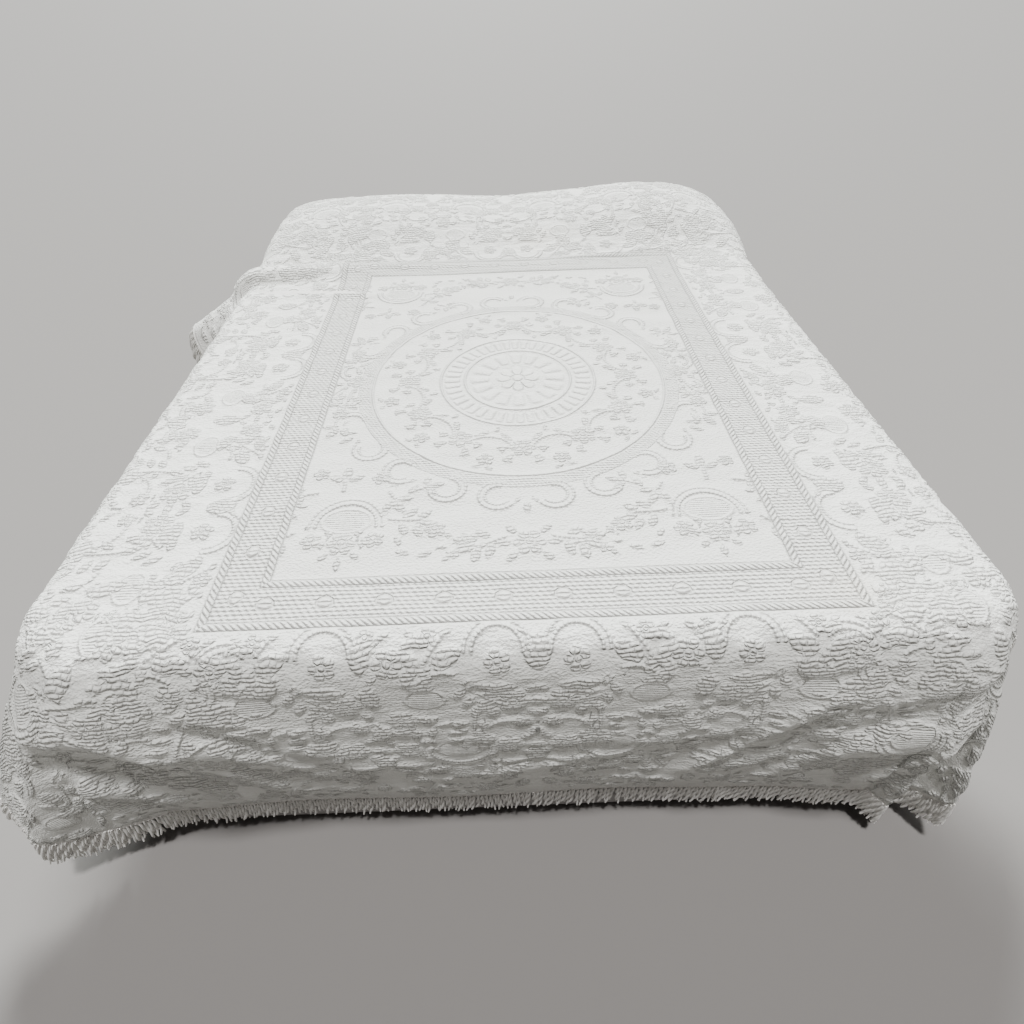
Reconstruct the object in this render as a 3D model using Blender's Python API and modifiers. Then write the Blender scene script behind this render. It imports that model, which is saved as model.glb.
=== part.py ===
"""White woven bedspread with a corded fringe, draped over a double bed with two pillows under it.

Metres, +Z up. The origin is on the floor under the middle of the bed, +Y runs from the foot to the
head. The cloth is worked out flat, u across and v along from its own middle, and then laid on the bed.
"""
import math

import bmesh
import bpy
import numpy as np
from mathutils import Vector

# The cloth as cut, without its fringe
CLOTH_WIDTH = 2.20
CLOTH_LENGTH = 2.50
CLOTH_THICKNESS = 0.0025
HEM_CORNER = 0.30

# The bed under it
BED_WIDTH = 1.60
BED_LENGTH = 2.00
BASE_HEIGHT = 0.390
BASE_INSET = 0.010
FIT_GAP = 0.0003
REST_GAP = 0.0005
CLOTH_TOP = 0.650
MATTRESS_CORNER = 0.140
MATTRESS_EDGE = 0.055
MATTRESS_EDGE_STEPS = 4
BASE_EDGE = 0.020
BASE_EDGE_STEPS = 2
PLAN_CORNER_STEPS = 5
SMOOTH_BELOW = 50

# How the cloth lies: its flat middle ends where it starts to roll over the mattress edge
ROLL = 0.065
MIDDLE_LEFT = 0.79
MIDDLE_RIGHT = 0.74
MIDDLE_FOOT = -0.695
MIDDLE_CORNER = 0.075
SHIFT_ACROSS = 0.025
SHIFT_ALONG = -0.260
CORNER_ALONG = MIDDLE_FOOT + MIDDLE_CORNER
# The foot drop swings sideways towards a corner from this far across, and a corner's forward lean
# fades out this far up the side, over this width
DRIFT_START = 0.35
FORE_FADE = 0.12
FORE_FADE_WIDTH = 0.04
FOLD_FADE = 1.2
LEAN_LEAST = -0.1
LEAN_MOST = 1.3
STRAIGHT_LEAST = 0.1
LEAN_STEPS = 12
TINY = 1e-6

# Crests and troughs of the side drops: place along the cloth, hem out from the flat middle
LEFT_FOLDS = ((1.25, .080), (1.06, .115), (.90, .080), (.61, .245), (.32, .075), (.12, .115), (-.08, .074),
              (-.28, .125), (-.45, .080), (-.62, .085))
RIGHT_FOLDS = ((1.25, .085), (1.02, .120), (.80, .074), (.55, .120), (.30, .074), (.08, .125), (-.16, .075),
               (-.34, .085), (-.50, .235), (-.62, .200))
# The foot drop: place across the cloth, hem forward from the flat middle
FOOT_FOLDS = ((-.715, .074), (-.45, .066), (-.15, .070), (.15, .066), (.42, .072), (.665, .085))
# The corner flutes: degrees round from the foot to the side, hem out sideways, hem out forward
LEFT_FLUTES = ((0, .020, .074), (12, .120, .095), (28, .190, .132), (42, .216, .098), (60, .135, .035),
               (76, .150, -.010), (90, .085, -.010))
RIGHT_FLUTES = ((0, .000, .085), (10, .020, .112), (24, .070, .068), (40, .096, .130), (58, .120, .030),
                (74, .180, -.020), (90, .200, -.030))
# Soft folds in the cloth, strongest where they start: from u, v to u, v, half width, height
SOFT_FOLDS = ((-.86, .62, -.30, .66, .040, .020), (-.88, .54, -.18, .56, .024, -.010),
              (-.80, .72, -.42, .73, .024, -.008), (.95, .64, .50, .80, .030, -.010),
              (-.80, -.86, -.18, -1.08, .050, .014), (-.78, -.98, -.40, -1.14, .050, -.012),
              (-.70, -.82, -.30, -.93, .050, .010), (.80, -.95, .25, -1.10, .060, .014),
              (.72, -.82, .30, -.92, .050, .009), (.45, -1.02, .05, -1.12, .050, -.010))

# The cloth over the pillows: its crest, the waves along the crest (across, half width, rise), and where
# it rises, falls and slopes off at the ends (middle, width of the slope)
CREST = 0.080
CREST_WAVES = ((-.42, .25, .011), (.52, .26, .032), (-.03, .16, -.012))
PILLOW_FRONT = (.56, .055)
PILLOW_BACK = (.96, .040)
PILLOW_ENDS = (.800, .050)
HEAD_SHARE = 0.3
LIFT_FADE = 0.25
PILLOW_BULGE_LEFT = 0.012
PILLOW_BULGE_RIGHT = 0.045
BULGE_SPREAD = 0.30
BULGE_START = 0.025

# The two pillows under the head end: middle across, rise
PILLOW_ALONG = 0.765
PILLOW_ROWS = ((-0.400, 0.088), (0.400, 0.103))
PILLOW_HALF_WIDTH = 0.375
PILLOW_HALF_DEPTH = 0.245
PILLOW_CLEAR = 0.0075
PILLOW_EDGE = 0.003
PILLOW_RINGS = 12
PILLOW_SEGMENTS = 24
PILLOW_NAMES = ("pillow_left", "pillow_right")

# The fringe: a narrow heading just off the hem, and locks of cord hanging from it
HEADING_GAP = 0.0008
HEADING_DEPTH = 0.009
LOCK_LENGTH = 0.078
LOCKS_PER_CELL = 2
LOCK_SHARE = 0.62
LOCK_TAPER = 0.70
LOCK_WEIGHT = 2.4
LOCK_SWAY = 0.13
LOCK_SWAY_TURNS = (2.3, 0.57)
LOCK_LENGTH_TURN = 1.7
LOCK_UNEVEN = 0.10

# Cells of the cloth's net: over each roll, down each drop, and over the lying part
ROLL_CELLS = 4
SIDE_CELLS = 5
FOOT_CELLS = 11
CORNER_CELLS = 2
ACROSS_CELLS = 20
ALONG_CELLS = 35


def eased(at, rows, column=1):
    """Value between the crests and troughs of a table, easing from row to row."""
    ordered = sorted(rows)
    places = np.array([row[0] for row in ordered], float)
    values = np.array([row[column] for row in ordered], float)
    at = np.clip(at, places[0], places[-1])
    row = np.clip(np.searchsorted(places, at, side="right") - 1, 0, len(places) - 2)
    share = (at - places[row]) / (places[row + 1] - places[row])
    share = (1 - np.cos(math.pi * share)) / 2
    return values[row] + (values[row + 1] - values[row]) * share


def ramp(x, middle, width):
    """Smooth step from 0 to 1."""
    return 1 / (1 + np.exp(-(x - middle) / width))


def hump(x, middle, width):
    """Bell of height 1."""
    return np.exp(-((x - middle) / width) ** 2)


def corner_reach(degrees, middle):
    """Flat distance from a corner's centre to the hem, whose own corner is rounded."""
    across = np.sin(np.radians(degrees))
    along = np.cos(np.radians(degrees))
    wide = CLOTH_WIDTH / 2 - middle + MIDDLE_CORNER
    deep = CORNER_ALONG + CLOTH_LENGTH / 2
    square = np.minimum(wide / np.maximum(across, TINY), deep / np.maximum(along, TINY))
    centre_wide = wide - HEM_CORNER
    centre_deep = deep - HEM_CORNER
    nearest = across * centre_wide + along * centre_deep
    inside = nearest ** 2 - centre_wide ** 2 - centre_deep ** 2 + HEM_CORNER ** 2
    rounded = nearest + np.sqrt(np.maximum(inside, 0))
    in_corner = (square * across > centre_wide) & (square * along > centre_deep)
    return np.where(in_corner, np.minimum(rounded, square), square)


def pillow_lift(x, y):
    """Height of the lying cloth above the mattress, x from the cloth's middle."""
    crest = CREST
    for across, width, rise in CREST_WAVES:
        crest = crest + rise * hump(x, across, width)
    front = ramp(y, *PILLOW_FRONT)
    back = 1 - (1 - HEAD_SHARE) * ramp(y, *PILLOW_BACK)
    ends = 1 - ramp(np.abs(x + SHIFT_ACROSS), *PILLOW_ENDS)
    return crest * front * back * ends


def soft_folds(u, v):
    """Height of the soft folds, square off the cloth."""
    height = np.zeros_like(u)
    for u0, v0, u1, v1, width, rise in SOFT_FOLDS:
        length = math.hypot(u1 - u0, v1 - v0)
        du, dv = (u1 - u0) / length, (v1 - v0) / length
        along = (u - u0) * du + (v - v0) * dv
        off = (u - u0) * dv - (v - v0) * du
        fade = np.cos(math.pi / 2 * np.clip(along / length, 0, 1)) ** FOLD_FADE
        before = hump(np.minimum(along, 0), 0, width)
        height = height + rise * fade * before * hump(off, 0, width)
    return height


def lean(hang, out):
    """Angle from the vertical that brings the end of a drop this far out, after its roll."""
    angle = np.zeros_like(hang)
    for _ in range(LEAN_STEPS):
        straight = np.maximum(hang - (math.pi / 2 - angle) * ROLL, STRAIGHT_LEAST)
        reached = ROLL * (1 - np.sin(angle)) + straight * np.sin(angle)
        angle = np.clip(angle + (out - reached) / straight, LEAN_LEAST, LEAN_MOST)
    return angle


def drape(u, v):
    """Places on the bed of flat cloth points: numpy arrays of u and v to an array of x, y, z."""
    u = np.asarray(u, float)
    v = np.asarray(v, float)
    left = u < 0
    side = np.where(left, -1.0, 1.0)
    middle = np.where(left, MIDDLE_LEFT, MIDDLE_RIGHT)
    centre = middle - MIDDLE_CORNER
    width = np.abs(u)
    past_side = np.maximum(width - centre, 0)
    past_foot = np.maximum(CORNER_ALONG - v, 0)
    in_corner = (past_side > 0) & (past_foot > 0)
    at_side = ~in_corner & (past_foot <= 0)
    degrees = np.degrees(np.arctan2(past_side, past_foot))

    def pick(corner, beside, at_foot):
        return np.where(in_corner, corner, np.where(at_side, beside, at_foot))

    # How far past the flat middle, and how far the hem is past it
    past = pick(np.hypot(past_side, past_foot) - MIDDLE_CORNER, width - middle, MIDDLE_FOOT - v)
    past = np.maximum(past, 0)
    reach = np.where(left, corner_reach(degrees, MIDDLE_LEFT), corner_reach(degrees, MIDDLE_RIGHT))
    hang = pick(reach - MIDDLE_CORNER, CLOTH_WIDTH / 2 - middle, MIDDLE_FOOT + CLOTH_LENGTH / 2)

    # Where the hem stands, sideways and forward
    flute_side = np.where(left, eased(degrees, LEFT_FLUTES), eased(degrees, RIGHT_FLUTES))
    flute_fore = np.where(left, eased(degrees, LEFT_FLUTES, 2), eased(degrees, RIGHT_FLUTES, 2))
    fold_side = np.where(left, eased(v, LEFT_FOLDS), eased(v, RIGHT_FOLDS))
    start_side = np.where(left, LEFT_FLUTES[0][1], RIGHT_FLUTES[0][1])
    end_fore = np.where(left, LEFT_FLUTES[-1][2], RIGHT_FLUTES[-1][2])
    drift = np.clip((width - DRIFT_START) / (centre - DRIFT_START), 0, 1) ** 2
    fore_left = 1 - ramp(v, CORNER_ALONG + FORE_FADE, FORE_FADE_WIDTH)
    out_side = pick(flute_side, fold_side, start_side * drift)
    out_fore = pick(flute_fore, end_fore * fore_left, eased(u, FOOT_FOLDS))
    out = np.hypot(out_side, out_fore)

    # Over the roll and down the drop
    angle = lean(hang, out)
    arc = (math.pi / 2 - angle) * ROLL
    turn = np.minimum(past, arc) / ROLL
    straight = np.maximum(past - arc, 0)
    away = ROLL * np.sin(turn) + straight * np.sin(angle)
    down = ROLL * (1 - np.cos(turn)) + straight * np.cos(angle)

    # The drop leaves square to the edge and bends towards its hem's place
    edge_side = pick(np.sin(np.radians(degrees)), 1.0, 0.0)
    edge_fore = pick(np.cos(np.radians(degrees)), 0.0, 1.0)
    bend = np.sqrt(np.clip(past / hang, 0, 1))
    go_side = edge_side + (out_side / out - edge_side) * bend
    go_fore = edge_fore + (out_fore / out - edge_fore) * bend
    go = np.hypot(go_side, go_fore)
    foot_x = np.where(past > 0, pick(centre + edge_side * MIDDLE_CORNER, middle, width), width)
    foot_y = np.where(past > 0, pick(CORNER_ALONG - edge_fore * MIDDLE_CORNER, v, MIDDLE_FOOT), v)
    lift = soft_folds(u, v)
    level = np.cos(turn) * lift
    push = np.sin(turn) * lift
    y = foot_y - go_fore / go * away - edge_fore * push + SHIFT_ALONG
    bulge = np.where(left, PILLOW_BULGE_LEFT, PILLOW_BULGE_RIGHT) * hump(y, PILLOW_ALONG, BULGE_SPREAD)
    bulge = bulge * ramp(width, middle, BULGE_START)
    x = side * (foot_x + go_side / go * away + edge_side * push + bulge)
    z = CLOTH_TOP - down + np.maximum(pillow_lift(x, y) * hump(down, 0, LIFT_FADE) + level, 0)
    return np.stack([x + SHIFT_ACROSS, y, z], -1)


def ticks(*stretches):
    """Grid lines from (start, stop, cells) stretches that follow on."""
    lines = [stretches[0][0]]
    for start, stop, cells in stretches:
        lines += [start + (stop - start) * (i + 1) / cells for i in range(cells)]
    return lines


def flat_net():
    """Flat points of the cloth's net, row by row from the foot, its foot corners rounded."""
    roll = ROLL * math.pi / 2
    half_width = CLOTH_WIDTH / 2
    half_length = CLOTH_LENGTH / 2
    corner_left = -MIDDLE_LEFT + MIDDLE_CORNER
    corner_right = MIDDLE_RIGHT - MIDDLE_CORNER
    across = ticks((-half_width, -MIDDLE_LEFT - roll, SIDE_CELLS), (-MIDDLE_LEFT - roll, -MIDDLE_LEFT, ROLL_CELLS),
                   (-MIDDLE_LEFT, corner_left, CORNER_CELLS), (corner_left, corner_right, ACROSS_CELLS),
                   (corner_right, MIDDLE_RIGHT, CORNER_CELLS), (MIDDLE_RIGHT, MIDDLE_RIGHT + roll, ROLL_CELLS),
                   (MIDDLE_RIGHT + roll, half_width, SIDE_CELLS))
    along = ticks((-half_length, MIDDLE_FOOT - roll, FOOT_CELLS), (MIDDLE_FOOT - roll, MIDDLE_FOOT, ROLL_CELLS),
                  (MIDDLE_FOOT, CORNER_ALONG, CORNER_CELLS), (CORNER_ALONG, half_length, ALONG_CELLS))
    u, v = np.meshgrid(np.array(across), np.array(along))
    middle = np.where(u < 0, MIDDLE_LEFT, MIDDLE_RIGHT)
    centre = middle - MIDDLE_CORNER
    past_side = np.maximum(np.abs(u) - centre, 0)
    past_foot = np.maximum(CORNER_ALONG - v, 0)
    degrees = np.degrees(np.arctan2(past_side, past_foot))
    wide = half_width - centre
    deep = CORNER_ALONG + half_length
    radians = np.radians(degrees)
    square = np.minimum(wide / np.maximum(np.sin(radians), TINY), deep / np.maximum(np.cos(radians), TINY))
    scale = np.where(u < 0, corner_reach(degrees, MIDDLE_LEFT), corner_reach(degrees, MIDDLE_RIGHT)) / square
    in_corner = (past_side > 0) & (past_foot > 0)
    scale = np.where(in_corner, scale, 1.0)
    u = np.where(in_corner, np.sign(u) * (centre + past_side * scale), u)
    v = np.where(in_corner, CORNER_ALONG - past_foot * scale, v)
    return u, v


def new_material(name, colour, roughness):
    material = bpy.data.materials.new(name)
    material.use_nodes = True
    shader = material.node_tree.nodes["Principled BSDF"]
    shader.inputs["Base Color"].default_value = (*colour, 1.0)
    shader.inputs["Roughness"].default_value = roughness
    shader.inputs["Metallic"].default_value = 0.0
    return material


def new_object(name, mesh, material, collection):
    mesh.materials.clear()
    mesh.materials.append(material)
    thing = bpy.data.objects.new(name, mesh)
    collection.objects.link(thing)
    return thing


def build_spread(material, collection):
    """The whole cloth: a net shaped as it lies, thickened towards the bed."""
    u, v = flat_net()
    points = drape(u, v)
    rows, columns = u.shape
    net = bmesh.new()
    bmesh.ops.create_grid(net, x_segments=columns - 1, y_segments=rows - 1, size=1.0)
    across = sorted({round(vert.co.x, 5) for vert in net.verts})
    along = sorted({round(vert.co.y, 5) for vert in net.verts})
    for vert in net.verts:
        column = across.index(round(vert.co.x, 5))
        row = along.index(round(vert.co.y, 5))
        vert.co = Vector(points[row, column])
    mesh = bpy.data.meshes.new("spread")
    net.to_mesh(mesh)
    net.free()
    mesh.shade_smooth()
    spread = new_object("spread", mesh, material, collection)
    shell = spread.modifiers.new("thickness", "SOLIDIFY")
    shell.thickness = CLOTH_THICKNESS
    shell.offset = -1.0
    return spread


def hem_stations(spread):
    """The hem round three sides, from the left head corner: its outer and inner edge, and its way down."""
    evaluated = spread.evaluated_get(bpy.context.evaluated_depsgraph_get())
    points = [vert.co.copy() for vert in evaluated.data.vertices]
    shell = len(points) // 2
    rows, columns = flat_net()[0].shape
    edge = [(row, 0, row, 1) for row in range(rows - 1, 0, -1)]
    edge += [(0, 0, 1, 1)] + [(0, column, 1, column) for column in range(1, columns - 1)]
    edge += [(0, columns - 1, 1, columns - 2)]
    edge += [(row, columns - 1, row, columns - 2) for row in range(1, rows)]
    stations = []
    for row, column, inner_row, inner_column in edge:
        at = row * columns + column
        before = inner_row * columns + inner_column
        outer, inner = points[at], points[at + shell]
        way = (outer + inner - points[before] - points[before + shell]).normalized()
        stations.append((outer, inner, way))
    return stations


def build_fringe(spread, material, collection):
    """One length of fringe: a heading just off the hem, and two locks for each cell of the hem."""
    stations = hem_stations(spread)
    ways = [way for _, _, way in stations]
    mesh = bmesh.new()
    corners = []
    for front, back, way in stations:
        places = [point + way * depth for depth in (HEADING_GAP, HEADING_DEPTH) for point in (front, back)]
        corners.append([mesh.verts.new(place) for place in places])
    lock = 0
    for i in range(len(stations) - 1):
        top_front, top_back, low_front, low_back = corners[i]
        next_top_front, next_top_back, next_low_front, next_low_back = corners[i + 1]
        front_run = [low_front]
        back_run = [low_back]
        pitch = 1.0 / LOCKS_PER_CELL
        for number in range(LOCKS_PER_CELL):
            for side in (-1, 1):
                share = pitch * (number + (1 + side * LOCK_SHARE) / 2)
                front_run.append(mesh.verts.new(low_front.co.lerp(next_low_front.co, share)))
                back_run.append(mesh.verts.new(low_back.co.lerp(next_low_back.co, share)))
        front_run.append(next_low_front)
        back_run.append(next_low_back)
        mesh.faces.new([top_front, *front_run, next_top_front])
        mesh.faces.new([next_top_back, *reversed(back_run), top_back])
        mesh.faces.new([top_back, top_front, next_top_front, next_top_back])
        for part in range(len(front_run) - 1):
            root = mesh.faces.new([front_run[part], back_run[part], back_run[part + 1], front_run[part + 1]])
            if part % 2:
                fall = (ways[i] + ways[i + 1] - LOCK_WEIGHT * Vector((0, 0, 1))).normalized()
                sway = LOCK_SWAY * sum(math.sin(lock * turn) for turn in LOCK_SWAY_TURNS)
                along = (next_low_front.co - low_front.co).normalized()
                length = LOCK_LENGTH * (1 + LOCK_UNEVEN * math.sin(lock * LOCK_LENGTH_TURN))
                hang_lock(mesh, root, (fall + along * sway) * length)
                lock += 1
    mesh.faces.new([corners[0][0], corners[0][1], corners[0][3], corners[0][2]])
    mesh.faces.new([corners[-1][0], corners[-1][2], corners[-1][3], corners[-1][1]])
    bmesh.ops.recalc_face_normals(mesh, faces=mesh.faces)
    data = bpy.data.meshes.new("fringe")
    mesh.to_mesh(data)
    mesh.free()
    return new_object("fringe", data, material, collection)


def hang_lock(mesh, root, fall):
    """Draws one lock down from its root face, narrower at its end."""
    made = bmesh.ops.extrude_face_region(mesh, geom=[root])
    bmesh.ops.delete(mesh, geom=[root], context="FACES_ONLY")
    ends = [item for item in made["geom"] if isinstance(item, bmesh.types.BMVert)]
    middle = sum((vert.co for vert in ends), Vector()) / len(ends)
    for vert in ends:
        vert.co = middle + (vert.co - middle) * LOCK_TAPER + fall


def build_block(name, size, bottom, edge, segments, corner, material, collection):
    """An upholstered block with rounded plan corners and softened edges."""
    block = bmesh.new()
    bmesh.ops.create_cube(block, size=1.0)
    bmesh.ops.scale(block, vec=size, verts=block.verts)
    bmesh.ops.translate(block, vec=(0, 0, bottom + size[2] / 2), verts=block.verts)
    upright = [e for e in block.edges if abs(e.verts[0].co.z - e.verts[1].co.z) > size[2] / 2]
    bmesh.ops.bevel(block, geom=upright, offset=corner, segments=PLAN_CORNER_STEPS, profile=.5, affect="EDGES")
    level = [e for e in block.edges if e.calc_face_angle(0) > 1.0 and abs(e.verts[0].co.z - e.verts[1].co.z) < TINY]
    bmesh.ops.bevel(block, geom=level, offset=edge, segments=segments, profile=.5, affect="EDGES")
    mesh = bpy.data.meshes.new(name)
    block.to_mesh(mesh)
    block.free()
    mesh.shade_smooth()
    mesh.set_sharp_from_angle(angle=math.radians(SMOOTH_BELOW))
    return new_object(name, mesh, material, collection)


def build_pillow(name, across, rise, material, collection):
    """A bed pillow lying flat under the cloth: flat below, crowned above, thin round its edge."""
    ball = bmesh.new()
    bmesh.ops.create_uvsphere(ball, u_segments=PILLOW_SEGMENTS, v_segments=PILLOW_RINGS, radius=1.0)
    bottom = CLOTH_TOP - CLOTH_THICKNESS - REST_GAP + FIT_GAP
    for vert in ball.verts:
        fullness = math.sqrt(max(vert.co.z, 0))
        x = across + vert.co.x * PILLOW_HALF_WIDTH
        y = PILLOW_ALONG + vert.co.y * PILLOW_HALF_DEPTH
        room = float(pillow_lift(np.array(x - SHIFT_ACROSS), np.array(y))) - PILLOW_CLEAR
        above = vert.co.z > -TINY
        height = max(min(rise * fullness, room), PILLOW_EDGE) if above else 0
        vert.co = (x, y, bottom + height)
    mesh = bpy.data.meshes.new(name)
    ball.to_mesh(mesh)
    ball.free()
    mesh.shade_smooth()
    return new_object(name, mesh, material, collection)


def build_bedspread():
    """The whole part, in its own collection."""
    for thing in list(bpy.data.objects):
        bpy.data.objects.remove(thing, do_unlink=True)
    collection = bpy.data.collections.new("bedspread")
    bpy.context.scene.collection.children.link(collection)
    woven = new_material("white_woven_cotton", (.80, .81, .78), .9)
    cord = new_material("white_cotton_cord", (.78, .78, .75), .9)
    ticking = new_material("plain_ticking", (.74, .73, .70), .85)
    cover = new_material("plain_base_cover", (.42, .41, .40), .85)
    linen = new_material("plain_pillow_linen", (.82, .82, .80), .85)
    mattress_bottom = BASE_HEIGHT + FIT_GAP
    mattress_height = CLOTH_TOP - CLOTH_THICKNESS - REST_GAP - mattress_bottom
    spread = build_spread(woven, collection)
    build_fringe(spread, cord, collection)
    build_block("mattress", (BED_WIDTH, BED_LENGTH, mattress_height), mattress_bottom, MATTRESS_EDGE,
                MATTRESS_EDGE_STEPS, MATTRESS_CORNER, ticking, collection)
    base_size = (BED_WIDTH - 2 * BASE_INSET, BED_LENGTH - 2 * BASE_INSET, BASE_HEIGHT)
    build_block("bed_base", base_size, 0.0, BASE_EDGE, BASE_EDGE_STEPS, MATTRESS_CORNER - BASE_INSET, cover,
                collection)
    for number, (across, rise) in enumerate(PILLOW_ROWS):
        build_pillow(PILLOW_NAMES[number], across, rise, linen, collection)


build_bedspread()
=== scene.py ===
import math
import random

import bpy
import numpy as np
from mathutils import Matrix, Vector


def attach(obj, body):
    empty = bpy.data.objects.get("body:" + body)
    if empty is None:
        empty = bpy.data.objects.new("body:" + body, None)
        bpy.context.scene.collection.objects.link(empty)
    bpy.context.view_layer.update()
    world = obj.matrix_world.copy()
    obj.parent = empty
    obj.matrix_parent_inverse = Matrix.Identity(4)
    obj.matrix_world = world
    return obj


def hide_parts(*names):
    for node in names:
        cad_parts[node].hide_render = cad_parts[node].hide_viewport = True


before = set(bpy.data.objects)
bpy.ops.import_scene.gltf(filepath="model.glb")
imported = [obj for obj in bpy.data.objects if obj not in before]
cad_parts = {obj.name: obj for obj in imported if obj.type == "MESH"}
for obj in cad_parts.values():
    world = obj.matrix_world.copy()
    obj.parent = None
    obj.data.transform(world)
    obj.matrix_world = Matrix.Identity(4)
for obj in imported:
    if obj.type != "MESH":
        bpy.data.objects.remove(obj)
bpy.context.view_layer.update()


# The viewpoint
# A wide lens held above the foot of the bed, level with a standing person's chest and looking down
# the length of the cloth.
FOCAL_LENGTH = 21.45
SENSOR_WIDTH = 36.0
VIEW_SHIFT = (0.0044, -0.0703)
VIEW_PLACE = Vector((-0.016, -1.512, 1.475))
VIEW_TILT = math.radians(39.32)
VIEW_YAW = math.radians(-0.55)
VIEW_ROLL = math.radians(-1.71)

lens = bpy.data.cameras.new("viewpoint")
lens.lens = FOCAL_LENGTH
lens.sensor_width = SENSOR_WIDTH
lens.shift_x, lens.shift_y = VIEW_SHIFT
lens.clip_start = 0.05
viewpoint = bpy.data.objects.new("viewpoint", lens)
bpy.context.scene.collection.objects.link(viewpoint)
aim = Matrix.Rotation(VIEW_YAW, 4, "Z") @ Matrix.Rotation(math.pi / 2 - VIEW_TILT, 4, "X")
viewpoint.matrix_world = Matrix.Translation(VIEW_PLACE) @ aim @ Matrix.Rotation(VIEW_ROLL, 4, "Z")
bpy.context.scene.camera = viewpoint


# The fall of the cloth
# The bedspread is one woven piece. Flat, u runs across it and v along it from its own middle; these
# sizes and folds are those of the solid, so that the fine sheet lies where the solid lies.
CLOTH_WIDTH = 2.20
CLOTH_LENGTH = 2.50
HEM_CORNER = 0.30
CLOTH_TOP = 0.650
ROLL = 0.065
MIDDLE_LEFT = 0.79
MIDDLE_RIGHT = 0.74
MIDDLE_FOOT = -0.695
MIDDLE_CORNER = 0.075
SHIFT_ACROSS = 0.025
SHIFT_ALONG = -0.260
CORNER_ALONG = MIDDLE_FOOT + MIDDLE_CORNER
# Side drops: place along the cloth, hem out from the flat middle
LEFT_FOLDS = ((1.25, .080), (1.06, .115), (.90, .080), (.61, .245), (.32, .075), (.12, .115), (-.08, .074),
              (-.28, .125), (-.45, .080), (-.62, .085))
RIGHT_FOLDS = ((1.25, .085), (1.02, .120), (.80, .074), (.55, .120), (.30, .074), (.08, .125), (-.16, .075),
               (-.34, .085), (-.50, .235), (-.62, .200))
# Foot drop: place across the cloth, hem forward from the flat middle
FOOT_FOLDS = ((-.715, .074), (-.45, .066), (-.15, .070), (.15, .066), (.42, .072), (.665, .085))
# Corner flutes: degrees round from the foot to the side, hem out sideways, hem out forward
LEFT_FLUTES = ((0, .020, .074), (12, .120, .095), (28, .190, .132), (42, .216, .098), (60, .135, .035),
               (76, .150, -.010), (90, .085, -.010))
RIGHT_FLUTES = ((0, .000, .085), (10, .020, .112), (24, .070, .068), (40, .096, .130), (58, .120, .030),
                (74, .180, -.020), (90, .200, -.030))
# Soft folds, strongest where they start: from u, v to u, v, half width, height
SOFT_FOLDS = ((-.86, .62, -.30, .66, .040, .020), (-.88, .54, -.18, .56, .024, -.010),
              (-.80, .72, -.42, .73, .024, -.008), (.95, .64, .50, .80, .030, -.010),
              (-.80, -.86, -.18, -1.08, .050, .014), (-.78, -.98, -.40, -1.14, .050, -.012),
              (-.70, -.82, -.30, -.93, .050, .010), (.80, -.95, .25, -1.10, .060, .014),
              (.72, -.82, .30, -.92, .050, .009), (.45, -1.02, .05, -1.12, .050, -.010))
# Over the pillows: the crest, its waves (across, half width, rise), and where it rises, falls and ends
CREST = 0.080
CREST_WAVES = ((-.42, .25, .011), (.52, .26, .032), (-.03, .16, -.012))
PILLOW_FRONT = (.56, .055)
PILLOW_BACK = (.96, .040)
PILLOW_ENDS = (.800, .050)
HEAD_SHARE = 0.3
LIFT_FADE = 0.25
PILLOW_BULGE_LEFT = 0.012
PILLOW_BULGE_RIGHT = 0.045
BULGE_SPREAD = 0.30
BULGE_START = 0.025
PILLOW_ALONG = 0.765
DRIFT_START = 0.35
FORE_FADE = (0.12, 0.04)
# The drop at the foot bellies out below the roll, and tucks in towards its hem a little past the solid
DROP_LEAN = 0.038
DROP_TUCK = 0.056
# How the lean of a drop is found, and how soft folds fade along themselves
LEAN_ROUNDS = 12
LEAN_LIMITS = (-0.1, 1.3)
STRAIGHT_LEAST = 0.1
FOLD_FADE = 1.2
TINY = 1e-6


def eased(at, rows, column=1):
    """Value between the crests and troughs of a table, easing from row to row."""
    ordered = sorted(rows)
    places = np.array([row[0] for row in ordered], float)
    values = np.array([row[column] for row in ordered], float)
    at = np.clip(at, places[0], places[-1])
    row = np.clip(np.searchsorted(places, at, side="right") - 1, 0, len(places) - 2)
    share = (at - places[row]) / (places[row + 1] - places[row])
    share = (1 - np.cos(math.pi * share)) / 2
    return values[row] + (values[row + 1] - values[row]) * share


def ramp(x, middle, width):
    return 1 / (1 + np.exp(-(x - middle) / width))


def hump(x, middle, width):
    return np.exp(-((x - middle) / width) ** 2)


def corner_reach(degrees, middle):
    """Flat distance from a corner's centre to the hem, whose own corner is rounded."""
    across = np.sin(np.radians(degrees))
    along = np.cos(np.radians(degrees))
    wide = CLOTH_WIDTH / 2 - middle + MIDDLE_CORNER
    deep = CORNER_ALONG + CLOTH_LENGTH / 2
    square = np.minimum(wide / np.maximum(across, TINY), deep / np.maximum(along, TINY))
    centre_wide = wide - HEM_CORNER
    centre_deep = deep - HEM_CORNER
    nearest = across * centre_wide + along * centre_deep
    inside = nearest ** 2 - centre_wide ** 2 - centre_deep ** 2 + HEM_CORNER ** 2
    rounded = nearest + np.sqrt(np.maximum(inside, 0))
    in_corner = (square * across > centre_wide) & (square * along > centre_deep)
    return np.where(in_corner, np.minimum(rounded, square), square)


def pillow_lift(x, y):
    crest = CREST
    for across, width, rise in CREST_WAVES:
        crest = crest + rise * hump(x, across, width)
    back = 1 - (1 - HEAD_SHARE) * ramp(y, *PILLOW_BACK)
    ends = 1 - ramp(np.abs(x + SHIFT_ACROSS), *PILLOW_ENDS)
    return crest * ramp(y, *PILLOW_FRONT) * back * ends


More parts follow.
